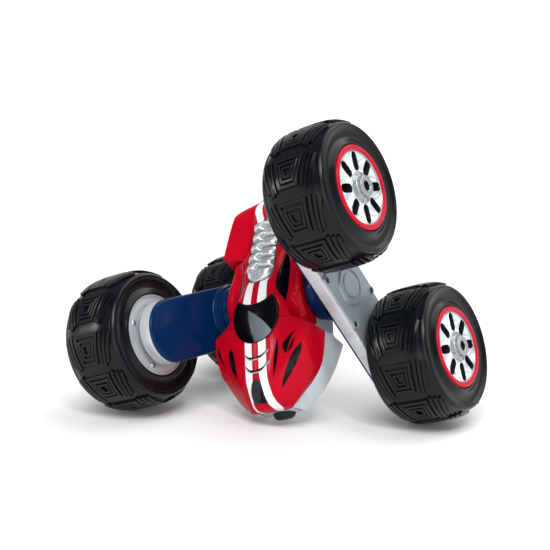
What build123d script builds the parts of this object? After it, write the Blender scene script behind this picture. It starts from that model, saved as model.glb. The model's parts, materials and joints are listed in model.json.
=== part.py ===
from build123d import *
import os
from math import acos, cos, pi, radians, sin, tan

# RC stunt car, millimetres. A slim central body hangs between two swing arms. Each arm turns on the
# lateral pivot axis of the body, holds its own motor in its hub, and drives a wheel at each end
# through a spur gear train. The car is modelled in its three-wheel stunt stance: the right arm lies
# flat, the left arm is swung up, the body hangs nose down and the whole car leans to its right.
# Local frames: BODY x forward, y left, z up, origin on the pivot axis. SIDE x along the arm,
# z outward from the car's centre plane. WHEEL as SIDE, with its origin at the wheel's centre.

# driving dimensions
WHEEL_RADIUS = 55.0
WHEEL_WIDTH = 58.0
BEAD_RADIUS = 33.0
HALF_TRACK = 95.6
AXLE_REACH = 79.0
LEAN = 19.36
BODY_PITCH = 68.5
LEFT_ARM_PITCH = -58.07
RIGHT_ARM_PITCH = 0.0

# swing arm casing, heights measured outward from the centre plane
ARM_HALF_WIDTH = 25.5
ARM_WALL = 2.0
ARM_INNER_FACE = 52.0
ARM_SEAM = 54.5
ARM_CEILING = 63.4
ARM_OUTER_FACE = 65.0
ARM_PANEL_FACE = 66.6
ARM_BOSS_FACE = 68.7
HUB_TIP = 27.0
SPIGOT_RADIUS = 17.92
BEARING_BORE = 18.0
BEARING_RADIUS = 21.5
MOTOR_LENGTH = 24.0

# gear train
FINE_MODULE = 0.6
MODULE = 1.0
PINION_TEETH = 12
REDUCTION_TEETH = 48
REDUCTION_PINION_TEETH = 8
CENTRE_TEETH = 28
IDLER_TEETH = 43
WHEEL_TEETH = 44
PRESSURE_ANGLE = radians(20)
BACKLASH = 0.22
FINE_PLANE = (55.0, 58.0)
STEP_PLANE = (58.0, 60.3)
MAIN_PLANE = (60.6, 63.0)
REDUCTION_REACH = (PINION_TEETH + REDUCTION_TEETH) * FINE_MODULE / 2
IDLER_REACH = (CENTRE_TEETH + IDLER_TEETH) * MODULE / 2

# fits and small parts
AXLE_RADIUS = 3.0
RUNNING_GAP = 0.05
IDLER_PIN_RADIUS = 2.0
REDUCTION_PIN_RADIUS = 1.5
SCREW_HEAD_RADIUS = 2.4
SCREW_SHANK_RADIUS = 1.2
COVER_SHANK_RADIUS = 0.9
SCREW_POST_RADIUS = 1.7

# rim
RIM_RADIUS = 34.2
RIM_FACE = 26.3
RING_OUTER = 31.9
RING_INNER = 28.4
RING_FACE = 28.3
RIM_SLOTS = 8
HUB_FACE = 32.3
HUB_BORE = 3.75
HUB_BORE_DEPTH = 8.0
PLATE_FACE = -25.9
PLATE_THICKNESS = 2.0
PLATE_SCREW_CIRCLE = 26.3
BACK_SCREWS = 4
BACK_SCREW_START = 21.0

# body
BODY_WALL = 2.0
BELLY = -22.0
RING_INSIDE = 24.5
CANOPY_TOP = 38.0
CANOPY_FLOOR = 24.0
CANOPY_MIDDLE = 19.5
CANOPY_RADIUS = 22.0
CANOPY_REAR = 3.0
ENGINE_FRONT = -9.0
ENGINE_REAR = -65.0
ENGINE_HALF_WIDTH = 13.0
ENGINE_FLOOR = 8.0
ENGINE_RIBS = 6
DOOR_MIDDLE = 3.0
DOOR_LENGTH = 46.0
DOOR_WIDTH = 34.0
DECK_BOTTOM = -1.0
DECK_TOP = 1.0
SWITCH_PLACE = -30.0
SWITCH_LENGTH = 4.0
SWITCH_WIDTH = 2.8
SWITCH_TRAVEL = 4.0
SHELL_SCREWS = [(x, y) for x in (-27.0, 24.0) for y in (-21.0, 21.0)]

PARTS = {}


def keep(name, part, place):
    """Label a finished piece, set it in the car's frame and remember it for export."""
    placed = part.moved(place)
    placed.label = name
    PARTS[name] = placed


def ring_of(count, radius, start=0.0):
    """Centres of a bolt circle."""
    return [(radius * cos(radians(start) + 2 * pi * i / count),
             radius * sin(radians(start) + 2 * pi * i / count)) for i in range(count)]


def involute_outline(teeth, module, phase):
    """Closed tooth outline of a spur gear with one tooth centred on the phase angle."""
    pitch = teeth * module / 2
    base = pitch * cos(PRESSURE_ANGLE)
    tip = pitch + 0.9 * module
    root = pitch - 1.2 * module
    half_tooth = (pi * module / 2 - BACKLASH * module) / (2 * pitch)
    involute_at_pitch = tan(PRESSURE_ANGLE) - PRESSURE_ANGLE
    foot = max(base, root)
    flank = []
    for radius in [foot + (tip - foot) * k / 4 for k in range(5)]:
        angle = acos(min(1.0, base / radius))
        flank.append((radius, half_tooth + involute_at_pitch - (tan(angle) - angle)))
    if root < base:
        flank.insert(0, (root, flank[0][1]))
    points = []
    for tooth in range(teeth):
        middle = phase + 2 * pi * tooth / teeth
        for radius, half in flank:
            points.append((radius * cos(middle - half), radius * sin(middle - half)))
        for radius, half in reversed(flank):
            points.append((radius * cos(middle + half), radius * sin(middle + half)))
    return points


def meshed(phase, teeth, direction, other_teeth):
    """Phase of a gear that meshes with another one lying in the given direction."""
    return direction + pi - (phase - direction) * teeth / other_teeth - pi / other_teeth


def gear(teeth, module, phase, plane, bore, centre):
    """A plain spur gear between the two heights of its plane."""
    with BuildPart() as part:
        with BuildSketch(Plane.XY.offset(plane[0])):
            with BuildLine():
                Polyline(*involute_outline(teeth, module, phase), close=True)
            make_face()
            Circle(bore, mode=Mode.SUBTRACT)
        extrude(amount=plane[1] - plane[0])
    return part.part.moved(Location((centre, 0, 0)))


# ---------------------------------------------------------------- wheels

def tyre_radius(u):
    """Crown of the tyre at u, from -1 at the inner edge to 1 at the outer edge."""
    power = 3.78
    return BEAD_RADIUS + (WHEEL_RADIUS - BEAD_RADIUS) * (1 - abs(u) ** power) ** (1 / power)


def make_tyre():
    half = WHEEL_WIDTH / 2
    crown = [(tyre_radius(sin(pi / 2 * k / 9)), half * sin(pi / 2 * k / 9)) for k in range(-9, 10)]
    with BuildPart() as part:
        with BuildSketch(Plane.XZ):
            with BuildLine():
                Spline(*crown)
                Polyline(crown[-1], (32.0, half), (32.0, -half), crown[0])
            make_face()
        revolve(axis=Axis.Z)
        with BuildSketch(Plane.XY.offset(-half)):
            Circle(RIM_RADIUS)
        extrude(amount=half + 23.0, mode=Mode.SUBTRACT)
        # hollow between the beads, open to the rim
        with BuildSketch(Plane.XZ):
            with BuildLine():
                Polyline((33.0, -19.0), (41.0, -24.0), (46.0, -22.0), (49.0, -16.0), (49.0, 16.0),
                         (46.0, 22.0), (41.0, 24.0), (33.0, 19.0), close=True)
            make_face()
        revolve(axis=Axis.Z, mode=Mode.SUBTRACT)
        # tread: one groove around each side of the crown and slanted cuts over the shoulders
        for side in (-1, 1):
            with BuildSketch(Plane.XZ):
                with Locations((WHEEL_RADIUS, side * 11.0)):
                    Rectangle(5.0, 1.8)
            revolve(axis=Axis.Z, mode=Mode.SUBTRACT)
        for side in (-1, 1):
            with BuildSketch(Plane.YZ.offset(51.5)) as cut:
                with Locations(Location((0, side * 20.0), side * 35)):
                    Rectangle(2.2, 26.0)
            slot = extrude(cut.sketch, amount=8.0, mode=Mode.PRIVATE)
            with PolarLocations(0, 20):
                add(slot, mode=Mode.SUBTRACT)
    return part.part


def make_rim():
    """Barrel, eight-slot face and hub, with the nut pocket that faces outward."""
    with BuildPart() as part:
        with BuildSketch(Plane.XZ):
            with BuildLine():
                Polyline((AXLE_RADIUS, -8.0), (9.0, -8.0), (12.0, 21.0), (30.6, 21.0), (31.2, -23.9),
                         (RIM_RADIUS, -23.9), (RIM_RADIUS, 23.0), (32.0, 23.0), (32.0, RIM_FACE),
                         (13.0, RIM_FACE), (11.8, 28.6), (8.0, 29.2), (7.4, HUB_FACE),
                         (HUB_BORE, HUB_FACE), (HUB_BORE, HUB_FACE - HUB_BORE_DEPTH),
                         (AXLE_RADIUS, HUB_FACE - HUB_BORE_DEPTH), close=True)
            make_face()
        revolve(axis=Axis.Z)
        with BuildSketch(Plane.XY.offset(18.0)) as slot:
            with Locations((20.5, 0)):
                SlotOverall(14.5, 5.6)
        opening = extrude(slot.sketch, amount=12.0, mode=Mode.PRIVATE)
        with PolarLocations(0, RIM_SLOTS):
            add(opening, mode=Mode.SUBTRACT)
    return part.part


def make_rim_ring():
    with BuildPart() as part:
        with BuildSketch(Plane.XY.offset(RIM_FACE)):
            Circle(RING_OUTER)
            Circle(RING_INNER, mode=Mode.SUBTRACT)
        extrude(amount=RING_FACE - RIM_FACE)
        chamfer(part.edges().filter_by(GeomType.CIRCLE).group_by(Axis.Z)[-1], 0.5)
    return part.part


def make_back_plate():
    """Disc that closes the rim towards the arm, with a raised hub and counterbored screw seats."""
    with BuildPart() as part:
        with BuildSketch(Plane.XY.offset(PLATE_FACE)):
            Circle(RIM_RADIUS)
            Circle(AXLE_RADIUS, mode=Mode.SUBTRACT)
        extrude(amount=PLATE_THICKNESS)
        with BuildSketch(Plane.XY.offset(PLATE_FACE)):
            Circle(31.2)
            Circle(29.8, mode=Mode.SUBTRACT)
        extrude(amount=0.8, mode=Mode.SUBTRACT)
        with BuildSketch(Plane.XY.offset(PLATE_FACE)):
            with Locations(*ring_of(BACK_SCREWS, PLATE_SCREW_CIRCLE, BACK_SCREW_START)):
                Circle(SCREW_SHANK_RADIUS)
        extrude(amount=PLATE_THICKNESS, mode=Mode.SUBTRACT)
        # posts that the screws bite into
        with BuildSketch(Plane.XY.offset(PLATE_FACE + PLATE_THICKNESS)):
            with Locations(*ring_of(BACK_SCREWS, PLATE_SCREW_CIRCLE, BACK_SCREW_START)):
                Circle(3.2)
                Circle(SCREW_SHANK_RADIUS, mode=Mode.SUBTRACT)
        extrude(amount=7.0)
    return part.part


def make_wheel_screws():
    """Four screws of the back plate, and the screw that holds the hub to the axle."""
    with BuildPart() as part:
        with BuildSketch(Plane.XY.offset(PLATE_FACE - 0.6)):
            with Locations(*ring_of(BACK_SCREWS, PLATE_SCREW_CIRCLE, BACK_SCREW_START)):
                Circle(SCREW_HEAD_RADIUS)
        extrude(amount=0.6)
        with BuildSketch(Plane.XY.offset(PLATE_FACE)):
            with Locations(*ring_of(BACK_SCREWS, PLATE_SCREW_CIRCLE, BACK_SCREW_START)):
                Circle(SCREW_SHANK_RADIUS)
        extrude(amount=8.0)
    return part.part


def make_axle():
    with BuildPart() as part:
        with BuildSketch(Plane.XY.offset(ARM_INNER_FACE + 1.6 - HALF_TRACK)):
            Circle(AXLE_RADIUS)
        extrude(amount=HUB_FACE - HUB_BORE_DEPTH - (ARM_INNER_FACE + 1.6 - HALF_TRACK))
    return part.part


# ---------------------------------------------------------------- swing arms

def stadium(half_width):
    """Arm outline: two round ends on the wheel axes. Called inside a sketch."""
    SlotCenterToCenter(2 * AXLE_REACH, 2 * half_width)


SCREW_SEATS = [(sx * 22.6, sy * 20.9) for sx in (-1, 1) for sy in (-1, 1)]


def make_inner_cover():
    """Blue half of the arm casing with the round hub that turns in the body."""
    with BuildPart() as part:
        with BuildSketch(Plane.XY.offset(ARM_INNER_FACE)):
            stadium(ARM_HALF_WIDTH)
        extrude(amount=ARM_SEAM - ARM_INNER_FACE)
        with BuildSketch(Plane.XY.offset(ARM_INNER_FACE + ARM_WALL)):
            stadium(ARM_HALF_WIDTH - ARM_WALL)
        extrude(amount=ARM_WALL, mode=Mode.SUBTRACT)
        # hub: tapered collar in two steps, then the spigot
        with BuildSketch(Plane.XZ):
            with BuildLine():
                Polyline((0, ARM_INNER_FACE), (25.5, ARM_INNER_FACE), (25.0, 48.0), (23.4, 46.0),
                         (23.4, 42.5), (21.4, 41.0), (21.4, 38.2), (SPIGOT_RADIUS, 38.2),
                         (SPIGOT_RADIUS, HUB_TIP), (0, HUB_TIP), close=True)
            make_face()
        revolve(axis=Axis.Z)
        with BuildSketch(Plane.XY.offset(HUB_TIP)):
            Circle(13.0)
        extrude(amount=ARM_INNER_FACE - HUB_TIP, mode=Mode.SUBTRACT)
        with BuildSketch(Plane.XY.offset(ARM_INNER_FACE)):
            Circle(3.4)
        extrude(amount=ARM_WALL, mode=Mode.SUBTRACT)
        # bearing bosses for the axles
        for end in (-1, 1):
            with BuildSketch(Plane.XY.offset(ARM_INNER_FACE + ARM_WALL)):
                with Locations((end * AXLE_REACH, 0)):
                    Circle(6.0)
            extrude(amount=5.0)
            with BuildSketch(Plane.XY.offset(ARM_INNER_FACE + 1.2)):
                with Locations((end * AXLE_REACH, 0)):
                    Circle(AXLE_RADIUS + RUNNING_GAP)
            extrude(amount=6.0, mode=Mode.SUBTRACT)
            with BuildSketch(Plane.XY.offset(ARM_INNER_FACE + ARM_WALL)):
                with Locations((end * IDLER_REACH, 0)):
                    Circle(2.3)
            extrude(amount=MAIN_PLANE[0] - 0.35 - ARM_INNER_FACE - ARM_WALL)
            with BuildSketch(Plane.XY.offset(ARM_INNER_FACE + ARM_WALL)):
                with Locations((end * IDLER_REACH, 0)):
                    Circle(IDLER_PIN_RADIUS)
            extrude(amount=MAIN_PLANE[1] - ARM_INNER_FACE - ARM_WALL)
        # posts of the cover screws, pin of the reduction gear
        with BuildSketch(Plane.XY.offset(ARM_INNER_FACE + ARM_WALL)):
            with Locations(*SCREW_SEATS):
                Circle(SCREW_POST_RADIUS)
                Circle(COVER_SHANK_RADIUS, mode=Mode.SUBTRACT)
        extrude(amount=ARM_CEILING - ARM_INNER_FACE - ARM_WALL)
        with BuildSketch(Plane.XY.offset(ARM_INNER_FACE + ARM_WALL)):
            with Locations((REDUCTION_REACH, 0)):
                Circle(2.6)
        extrude(amount=FINE_PLANE[0] - 0.35 - ARM_INNER_FACE - ARM_WALL)
        with BuildSketch(Plane.XY.offset(ARM_INNER_FACE + ARM_WALL)):
            with Locations((REDUCTION_REACH, 0)):
                Circle(REDUCTION_PIN_RADIUS)
        extrude(amount=STEP_PLANE[1] - ARM_INNER_FACE - ARM_WALL)
    return part.part


def make_outer_cover():
    """Silver half of the arm casing: raised centre panel, axle bosses and four screw seats."""
    with BuildPart() as part:
        with BuildSketch(Plane.XY.offset(ARM_SEAM)):
            stadium(ARM_HALF_WIDTH)
        extrude(amount=ARM_OUTER_FACE - ARM_SEAM)
        with BuildSketch(Plane.XY.offset(ARM_SEAM)):
            stadium(ARM_HALF_WIDTH - ARM_WALL)
        extrude(amount=ARM_CEILING - ARM_SEAM, mode=Mode.SUBTRACT)
        with BuildSketch(Plane.XY.offset(ARM_OUTER_FACE)):
            RectangleRounded(53.0, 2 * ARM_HALF_WIDTH - 2.0, 4.0)
        extrude(amount=ARM_PANEL_FACE - ARM_OUTER_FACE)
        with BuildSketch(Plane.XY.offset(ARM_OUTER_FACE)):
            Circle(15.5)
        extrude(amount=ARM_BOSS_FACE - 0.2 - ARM_OUTER_FACE)
        with BuildSketch(Plane.XY.offset(ARM_BOSS_FACE - 1.0)):
            Circle(12.2)
            Circle(10.2, mode=Mode.SUBTRACT)
        extrude(amount=2.0, mode=Mode.SUBTRACT)
        with BuildSketch(Plane.XY.offset(ARM_OUTER_FACE)):
            with Locations((AXLE_REACH, 0), (-AXLE_REACH, 0)):
                Circle(22.0)
        extrude(amount=ARM_BOSS_FACE - ARM_OUTER_FACE, taper=12)
        with BuildSketch(Plane.XY.offset(ARM_CEILING)):
            with Locations((AXLE_REACH, 0), (-AXLE_REACH, 0)):
                Circle(AXLE_RADIUS + RUNNING_GAP)
        extrude(amount=8.0, mode=Mode.SUBTRACT)
        # pin of the centre gear
        with BuildSketch(Plane.XY.offset(STEP_PLANE[0] + 0.6)):
            Circle(IDLER_PIN_RADIUS)
        extrude(amount=ARM_CEILING - STEP_PLANE[0] - 0.6)
        # screw seats and their shank holes
        with BuildSketch(Plane.XY.offset(ARM_PANEL_FACE - 1.4)):
            with Locations(*SCREW_SEATS):
                Circle(2.8)
        extrude(amount=3.0, mode=Mode.SUBTRACT)
        with BuildSketch(Plane.XY.offset(ARM_CEILING - 1.0)):
            with Locations(*SCREW_SEATS):
                Circle(COVER_SHANK_RADIUS)
        extrude(amount=3.0, mode=Mode.SUBTRACT)
    return part.part


def make_cover_screws():
    with BuildPart() as part:
        with BuildSketch(Plane.XY.offset(ARM_PANEL_FACE - 1.4)):
            with Locations(*SCREW_SEATS):
                Circle(SCREW_HEAD_RADIUS)
        extrude(amount=0.8)
        with BuildSketch(Plane.XY.offset(ARM_INNER_FACE + ARM_WALL + 2.0)):
            with Locations(*SCREW_SEATS):
                Circle(COVER_SHANK_RADIUS)
        extrude(amount=ARM_PANEL_FACE - 1.4 - ARM_INNER_FACE - ARM_WALL - 2.0)
    return part.part


def make_motor():
    """Flat-sided can with its bearing nose and shaft."""
    top = ARM_INNER_FACE
    with BuildPart() as part:
        with BuildSketch(Plane.XY.offset(top - MOTOR_LENGTH)):
            Circle(10.0)
            Rectangle(24.0, 15.0, mode=Mode.INTERSECT)
        extrude(amount=MOTOR_LENGTH)
        with BuildSketch(Plane.XY.offset(top)):
            Circle(3.0)
        extrude(amount=1.6)
        with BuildSketch(Plane.XY.offset(top + 1.6)):
            Circle(1.0)
        extrude(amount=FINE_PLANE[1] - top - 1.6)
    return part.part


def make_reduction_gear():
    """Large fine wheel with a coarse pinion on top, in one piece."""
    bore = REDUCTION_PIN_RADIUS + RUNNING_GAP
    step_phase = meshed(0.0, CENTRE_TEETH, 0.0, REDUCTION_PINION_TEETH)
    with BuildPart() as part:
        add(gear(REDUCTION_TEETH, FINE_MODULE, 0.0, FINE_PLANE, bore, REDUCTION_REACH))
        add(gear(REDUCTION_PINION_TEETH, MODULE, step_phase, STEP_PLANE, bore, REDUCTION_REACH))
    return part.part


# ---------------------------------------------------------------- body

# Cross-sections of the body, front to rear. Each gives the place along the body, the top of the
# ridge, the shoulder (y, z), the fender crease (y, z), the widest line (y, z), the lower edge
# (y, z) and the belly (y, z) of the right-hand half.
FRONT_SECTIONS = [
    (92.5, 24.0, (8.0, 21.0), (15.0, 15.5), (16.0, 9.0), (15.0, 1.0), (8.0, -2.0)),
    (84.0, 31.0, (15.0, 26.0), (28.0, 18.0), (29.0, 9.0), (27.0, -2.0), (18.0, -6.0)),
    (72.0, 35.5, (20.0, 31.5), (37.0, 20.0), (38.0, 8.0), (36.5, -5.0), (26.0, -10.0)),
    (60.0, 36.5, (24.0, 33.0), (43.0, 25.0), (44.0, 7.0), (42.5, -9.0), (30.0, -15.0)),
    (45.0, 37.0, (26.0, 34.0), (44.0, 31.0), (46.0, 6.0), (44.5, -16.0), (32.0, -20.0)),
    (27.0, 37.5, (26.0, 34.5), (44.0, 32.0), (46.5, 5.0), (45.0, -21.0), (33.0, BELLY)),
]
MIDDLE_SECTIONS = [
    (27.0, 37.5, (26.0, 34.5), (34.0, 30.0), (37.0, 5.0), (36.5, -19.0), (32.0, BELLY)),
    (0.0, 30.0, (24.0, 28.0), (33.0, 27.0), (37.0, 3.0), (36.5, -19.0), (32.0, BELLY)),
    (-34.0, 21.0, (24.0, 20.0), (34.0, 19.0), (37.0, 1.0), (36.5, -18.0), (32.0, BELLY)),
]
REAR_SECTIONS = [
    (-34.0, 21.0, (24.0, 20.0), (42.0, 26.0), (45.0, 1.0), (44.0, -18.0), (32.0, BELLY)),
    (-60.0, 16.0, (23.0, 12.0), (42.0, 19.0), (45.0, 0.0), (43.0, -14.0), (30.0, -17.0)),
    (-80.0, 20.0, (16.0, 14.0), (39.0, 11.0), (41.0, -2.0), (38.0, -10.0), (24.0, -12.0)),
    (-93.0, 6.0, (10.0, 4.0), (22.0, 1.0), (23.0, -4.0), (21.0, -8.0), (14.0, -9.0)),
]
PARTING = [(-120.0, -4.0), (-34.0, 1.0), (27.0, 5.0), (60.0, 7.0), (84.0, 9.0), (120.0, 10.0)]


def half_section(section, inset):
    """Points of one half of a cross-section, pulled in by the wall thickness."""
    top, shoulder, crease, widest, edge, belly = section[1:]
    points = [(0, top - inset), (shoulder[0] - inset, shoulder[1] - inset)]
    points.append((crease[0] - inset, crease[1] - inset))
    points.append((widest[0] - inset, widest[1]))
    points.append((edge[0] - inset, edge[1] + inset))
    points.append((belly[0] - inset, belly[1] + inset))
    points.append((0, belly[1] + inset))
    return points


def hull_block(sections, inset, front_inset, rear_inset):
    """Loft through one run of cross-sections."""
    with BuildPart() as block:
        for section in sections:
            x = section[0]
            if section is sections[0]:
                x -= front_inset
            if section is sections[-1]:
                x += rear_inset
            half = half_section(section, inset)
            other = [(-y, z) for y, z in reversed(half[1:-1])]
            with BuildSketch(Plane.YZ.offset(x)):
                with BuildLine():
                    Polyline(*half, *other, close=True)
                make_face()
        loft(ruled=True)
    return block.part


def body_hull(inset):
    """The whole body as one closed solid, smaller by inset on every side."""
    front = hull_block(FRONT_SECTIONS, inset, inset, inset)
    middle = hull_block(MIDDLE_SECTIONS, inset, -inset, -inset)
    rear = hull_block(REAR_SECTIONS, inset, inset, inset)
    with BuildPart() as part:
        add(front)
        add(middle)
        add(rear)
    return part.part


def above_parting(grow=0.0):
    """Everything over the line where the two shells meet."""
    with BuildPart() as part:
        with BuildSketch(Plane.XZ):
            with BuildLine():
                Polyline(*[(x, z + grow) for x, z in PARTING], (120.0, 80.0), (-120.0, 80.0), close=True)
            make_face()
        extrude(amount=60.0, both=True)
    return part.part


def canopy_plan():
    """Canopy outline: a disc cut straight at the rear. Called inside a sketch."""
    with Locations((CANOPY_MIDDLE, 0)):
        Circle(CANOPY_RADIUS)
    with Locations((CANOPY_REAR - CANOPY_RADIUS, 0)):
        Rectangle(2 * CANOPY_RADIUS, 3 * CANOPY_RADIUS, mode=Mode.SUBTRACT)


OUTER = body_hull(0.0)
INNER = body_hull(BODY_WALL)
UPPER_HALF = above_parting()


def make_upper_shell():
    with BuildPart() as part:
        add(OUTER)
        add(INNER, mode=Mode.SUBTRACT)
        add(UPPER_HALF, mode=Mode.INTERSECT)
        with BuildSketch(Plane.XY.offset(15.0)):
            canopy_plan()
        extrude(amount=40.0, mode=Mode.SUBTRACT)
        with BuildSketch(Plane.XY.offset(4.0)):
            with Locations(((ENGINE_FRONT + ENGINE_REAR) / 2, 0)):
                Rectangle(ENGINE_FRONT - ENGINE_REAR, 2 * ENGINE_HALF_WIDTH)
        extrude(amount=40.0, mode=Mode.SUBTRACT)
        with BuildSketch(Plane.XZ):
            Circle(BEARING_RADIUS)
        extrude(amount=60.0, both=True, mode=Mode.SUBTRACT)
        # ventilation slots in the bonnet
        with BuildSketch(Plane.XY.offset(20.0)):
            for side in (-1, 1):
                with Locations(Location((60.0, side * 17.0), side * 12)):
                    SlotOverall(24.0, 3.2)
        extrude(amount=30.0, mode=Mode.SUBTRACT)
    return part.part


def make_lower_shell():
    """Grey tub with the battery opening, the switch slot and four screw holes."""
    with BuildPart() as part:
        add(OUTER)
        add(INNER, mode=Mode.SUBTRACT)
        add(UPPER_HALF, mode=Mode.SUBTRACT)
        with BuildSketch(Plane.XZ):
            Circle(BEARING_RADIUS)
        extrude(amount=60.0, both=True, mode=Mode.SUBTRACT)
        with BuildSketch(Plane.XY.offset(BELLY - 1.0)):
            with Locations((DOOR_MIDDLE, 0)):
                Rectangle(DOOR_LENGTH, DOOR_WIDTH)
            with Locations((SWITCH_PLACE + SWITCH_TRAVEL / 2, 0)):
                Rectangle(SWITCH_LENGTH + SWITCH_TRAVEL + 0.6, SWITCH_WIDTH + 0.6)
            with Locations(*SHELL_SCREWS):
                Circle(SCREW_SHANK_RADIUS)
        extrude(amount=BODY_WALL + 1.5, mode=Mode.SUBTRACT)
        with BuildSketch(Plane.XY.offset(BELLY - 0.5)):
            with Locations(*SHELL_SCREWS):
                Circle(SCREW_HEAD_RADIUS + 0.2)
        extrude(amount=1.5, mode=Mode.SUBTRACT)
    return part.part



def make_canopy():
    """Gloss cockpit cover, hollow underneath."""
    with BuildPart() as part:
        with BuildSketch(Plane.XY.offset(CANOPY_FLOOR)):
            canopy_plan()
        extrude(amount=CANOPY_TOP - CANOPY_FLOOR)
        # crown: the top slopes to both sides and falls to the rear
        with BuildSketch(Plane.YZ):
            with BuildLine():
                Polyline((-30.0, 33.0), (-17.0, 36.2), (0.0, CANOPY_TOP), (17.0, 36.2), (30.0, 33.0),
                         (30.0, 10.0), (-30.0, 10.0), close=True)
            make_face()
        extrude(amount=60.0, both=True, mode=Mode.INTERSECT)
        with BuildSketch(Plane.XZ):
            with BuildLine():
                Polyline((-12.0, 33.5), (10.0, CANOPY_TOP), (43.0, 36.9), (43.0, 10.0), (-12.0, 10.0),
                         close=True)
            make_face()
        extrude(amount=60.0, both=True, mode=Mode.INTERSECT)
        with BuildSketch(Plane.XY.offset(CANOPY_FLOOR)):
            canopy_plan()
            offset(amount=-BODY_WALL, mode=Mode.REPLACE)
        extrude(amount=6.0, mode=Mode.SUBTRACT)
    return part.part


def make_engine_block():
    """Chromed dummy engine: a base and two banks of half-round ribs."""
    length = ENGINE_FRONT - ENGINE_REAR
    pitch = length / ENGINE_RIBS
    with BuildPart() as part:
        with BuildSketch(Plane.XZ):
            with BuildLine():
                Polyline((ENGINE_REAR, ENGINE_FLOOR), (ENGINE_REAR, 14.0), (-51.0, 18.0), (-40.0, 21.0),
                         (-30.0, 25.0), (ENGINE_FRONT, 31.0), (ENGINE_FRONT, ENGINE_FLOOR), close=True)
            make_face()
        extrude(amount=ENGINE_HALF_WIDTH, both=True)
        for rib in range(ENGINE_RIBS):
            x = ENGINE_REAR + pitch * (rib + 0.5)
            height = 15.5 + 15.0 * (x - ENGINE_REAR) / length
            for side in (-1, 1):
                with BuildSketch(Plane.XZ.offset(-side * ENGINE_HALF_WIDTH / 2)):
                    with Locations((x, height)):
                        Circle(3.9)
                extrude(amount=5.6, both=True)
    return part.part


def skin_patch(outline, lowest, thickness):
    """Thin cover that follows the body surface inside a plan outline."""
    grown = body_hull(-thickness)
    with BuildPart() as part:
        with BuildSketch(Plane.XY.offset(lowest)):
            with BuildLine():
                Polyline(*outline, close=True)
            make_face()
        extrude(amount=60.0)
        add(grown, mode=Mode.INTERSECT)
        add(OUTER, mode=Mode.SUBTRACT)
    return part.part


def make_side_panels():
    """Black trim on both flanks of the engine."""
    inner_edge = ENGINE_HALF_WIDTH + 1.4
    with BuildPart() as part:
        for side in (-1, 1):
            outline = [(-60.0, side * inner_edge), (-6.0, side * inner_edge), (2.0, side * 19.0),
                       (2.0, side * 23.0), (-56.0, side * 21.5)]
            add(skin_patch(outline, 8.0, 1.2))
    return part.part


def make_nose_insert():
    return skin_patch([(72.0, -6.0), (72.0, 6.0), (96.0, 7.0), (96.0, -7.0)], 12.0, 1.0)


def make_front_bumper():
    with BuildPart() as part:
        with BuildSketch(Plane.XZ):
            with BuildLine():
                Polyline((80.0, -4.0), (82.0, -9.0), (91.0, -9.0), (91.0, -1.5), (84.0, -4.5), close=True)
            make_face()
        extrude(amount=8.0, both=True)
        add(OUTER, mode=Mode.SUBTRACT)
    return part.part


def make_chassis():
    """Deck between two bearing rings, with four screw posts."""
    with BuildPart() as part:
        with BuildSketch(Plane.XY.offset(DECK_BOTTOM)):
            Rectangle(88.0, 2 * RING_INSIDE)
        extrude(amount=DECK_TOP - DECK_BOTTOM)
        for side in (-1, 1):
            with BuildSketch(Plane.XZ.offset(-side * RING_INSIDE)):
                Circle(BEARING_RADIUS)
                Circle(9.0, mode=Mode.SUBTRACT)
            extrude(amount=-side * 2.0)
            with BuildSketch(Plane.XZ.offset(-side * (RING_INSIDE + 2.0))):
                Circle(BEARING_RADIUS)
                Circle(BEARING_BORE, mode=Mode.SUBTRACT)
            extrude(amount=-side * (37.0 - RING_INSIDE - 2.0))
        with BuildSketch(Plane.XY.offset(BELLY + BODY_WALL)):
            with Locations(*SHELL_SCREWS):
                Circle(3.2)
        extrude(amount=DECK_BOTTOM - BELLY - BODY_WALL)
        with BuildSketch(Plane.XY.offset(BELLY + BODY_WALL)):
            with Locations(*SHELL_SCREWS):
                Circle(SCREW_SHANK_RADIUS)
        extrude(amount=9.0, mode=Mode.SUBTRACT)
    return part.part


def make_battery():
    with BuildPart() as part:
        with BuildSketch(Plane.XY.offset(BELLY + BODY_WALL + 1.0)):
            with Locations((DOOR_MIDDLE, 0)):
                RectangleRounded(DOOR_LENGTH - 4.0, DOOR_WIDTH - 4.0, 3.0)
        extrude(amount=DECK_BOTTOM - BELLY - BODY_WALL - 1.0)
    return part.part


def make_battery_door():
    with BuildPart() as part:
        with BuildSketch(Plane.XY.offset(BELLY)):
            with Locations((DOOR_MIDDLE, 0)):
                Rectangle(DOOR_LENGTH - 0.4, DOOR_WIDTH - 0.4)
        extrude(amount=BODY_WALL)
        with BuildSketch(Plane.XY.offset(BELLY + BODY_WALL)):
            with Locations((DOOR_MIDDLE, 0)):
                Rectangle(DOOR_LENGTH + 3.0, DOOR_WIDTH - 8.0)
        extrude(amount=1.0)
        # finger grooves
        with BuildSketch(Plane.XY.offset(BELLY)):
            with Locations(*[(DOOR_MIDDLE + 15.0 + 2.4 * k, 0) for k in range(3)]):
                Rectangle(1.2, 14.0)
        extrude(amount=0.6, mode=Mode.SUBTRACT)
    return part.part


def make_circuit_board():
    """Receiver board on four posts, with its larger components."""
    with BuildPart() as part:
        with BuildSketch(Plane.XY.offset(DECK_TOP + 2.0)):
            with Locations((-24.0, 0)):
                Rectangle(36.0, 30.0)
        extrude(amount=1.6)
        with BuildSketch(Plane.XY.offset(DECK_TOP)):
            with Locations(*[(-24.0 + sx * 15.0, sy * 12.0) for sx in (-1, 1) for sy in (-1, 1)]):
                Circle(1.8)
        extrude(amount=2.0)
        with BuildSketch(Plane.XY.offset(DECK_TOP + 3.6)):
            with Locations((-30.0, 6.0)):
                Rectangle(9.0, 9.0)
            with Locations((-16.0, -6.0)):
                Rectangle(7.0, 5.0)
        extrude(amount=1.5)
    return part.part


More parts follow.
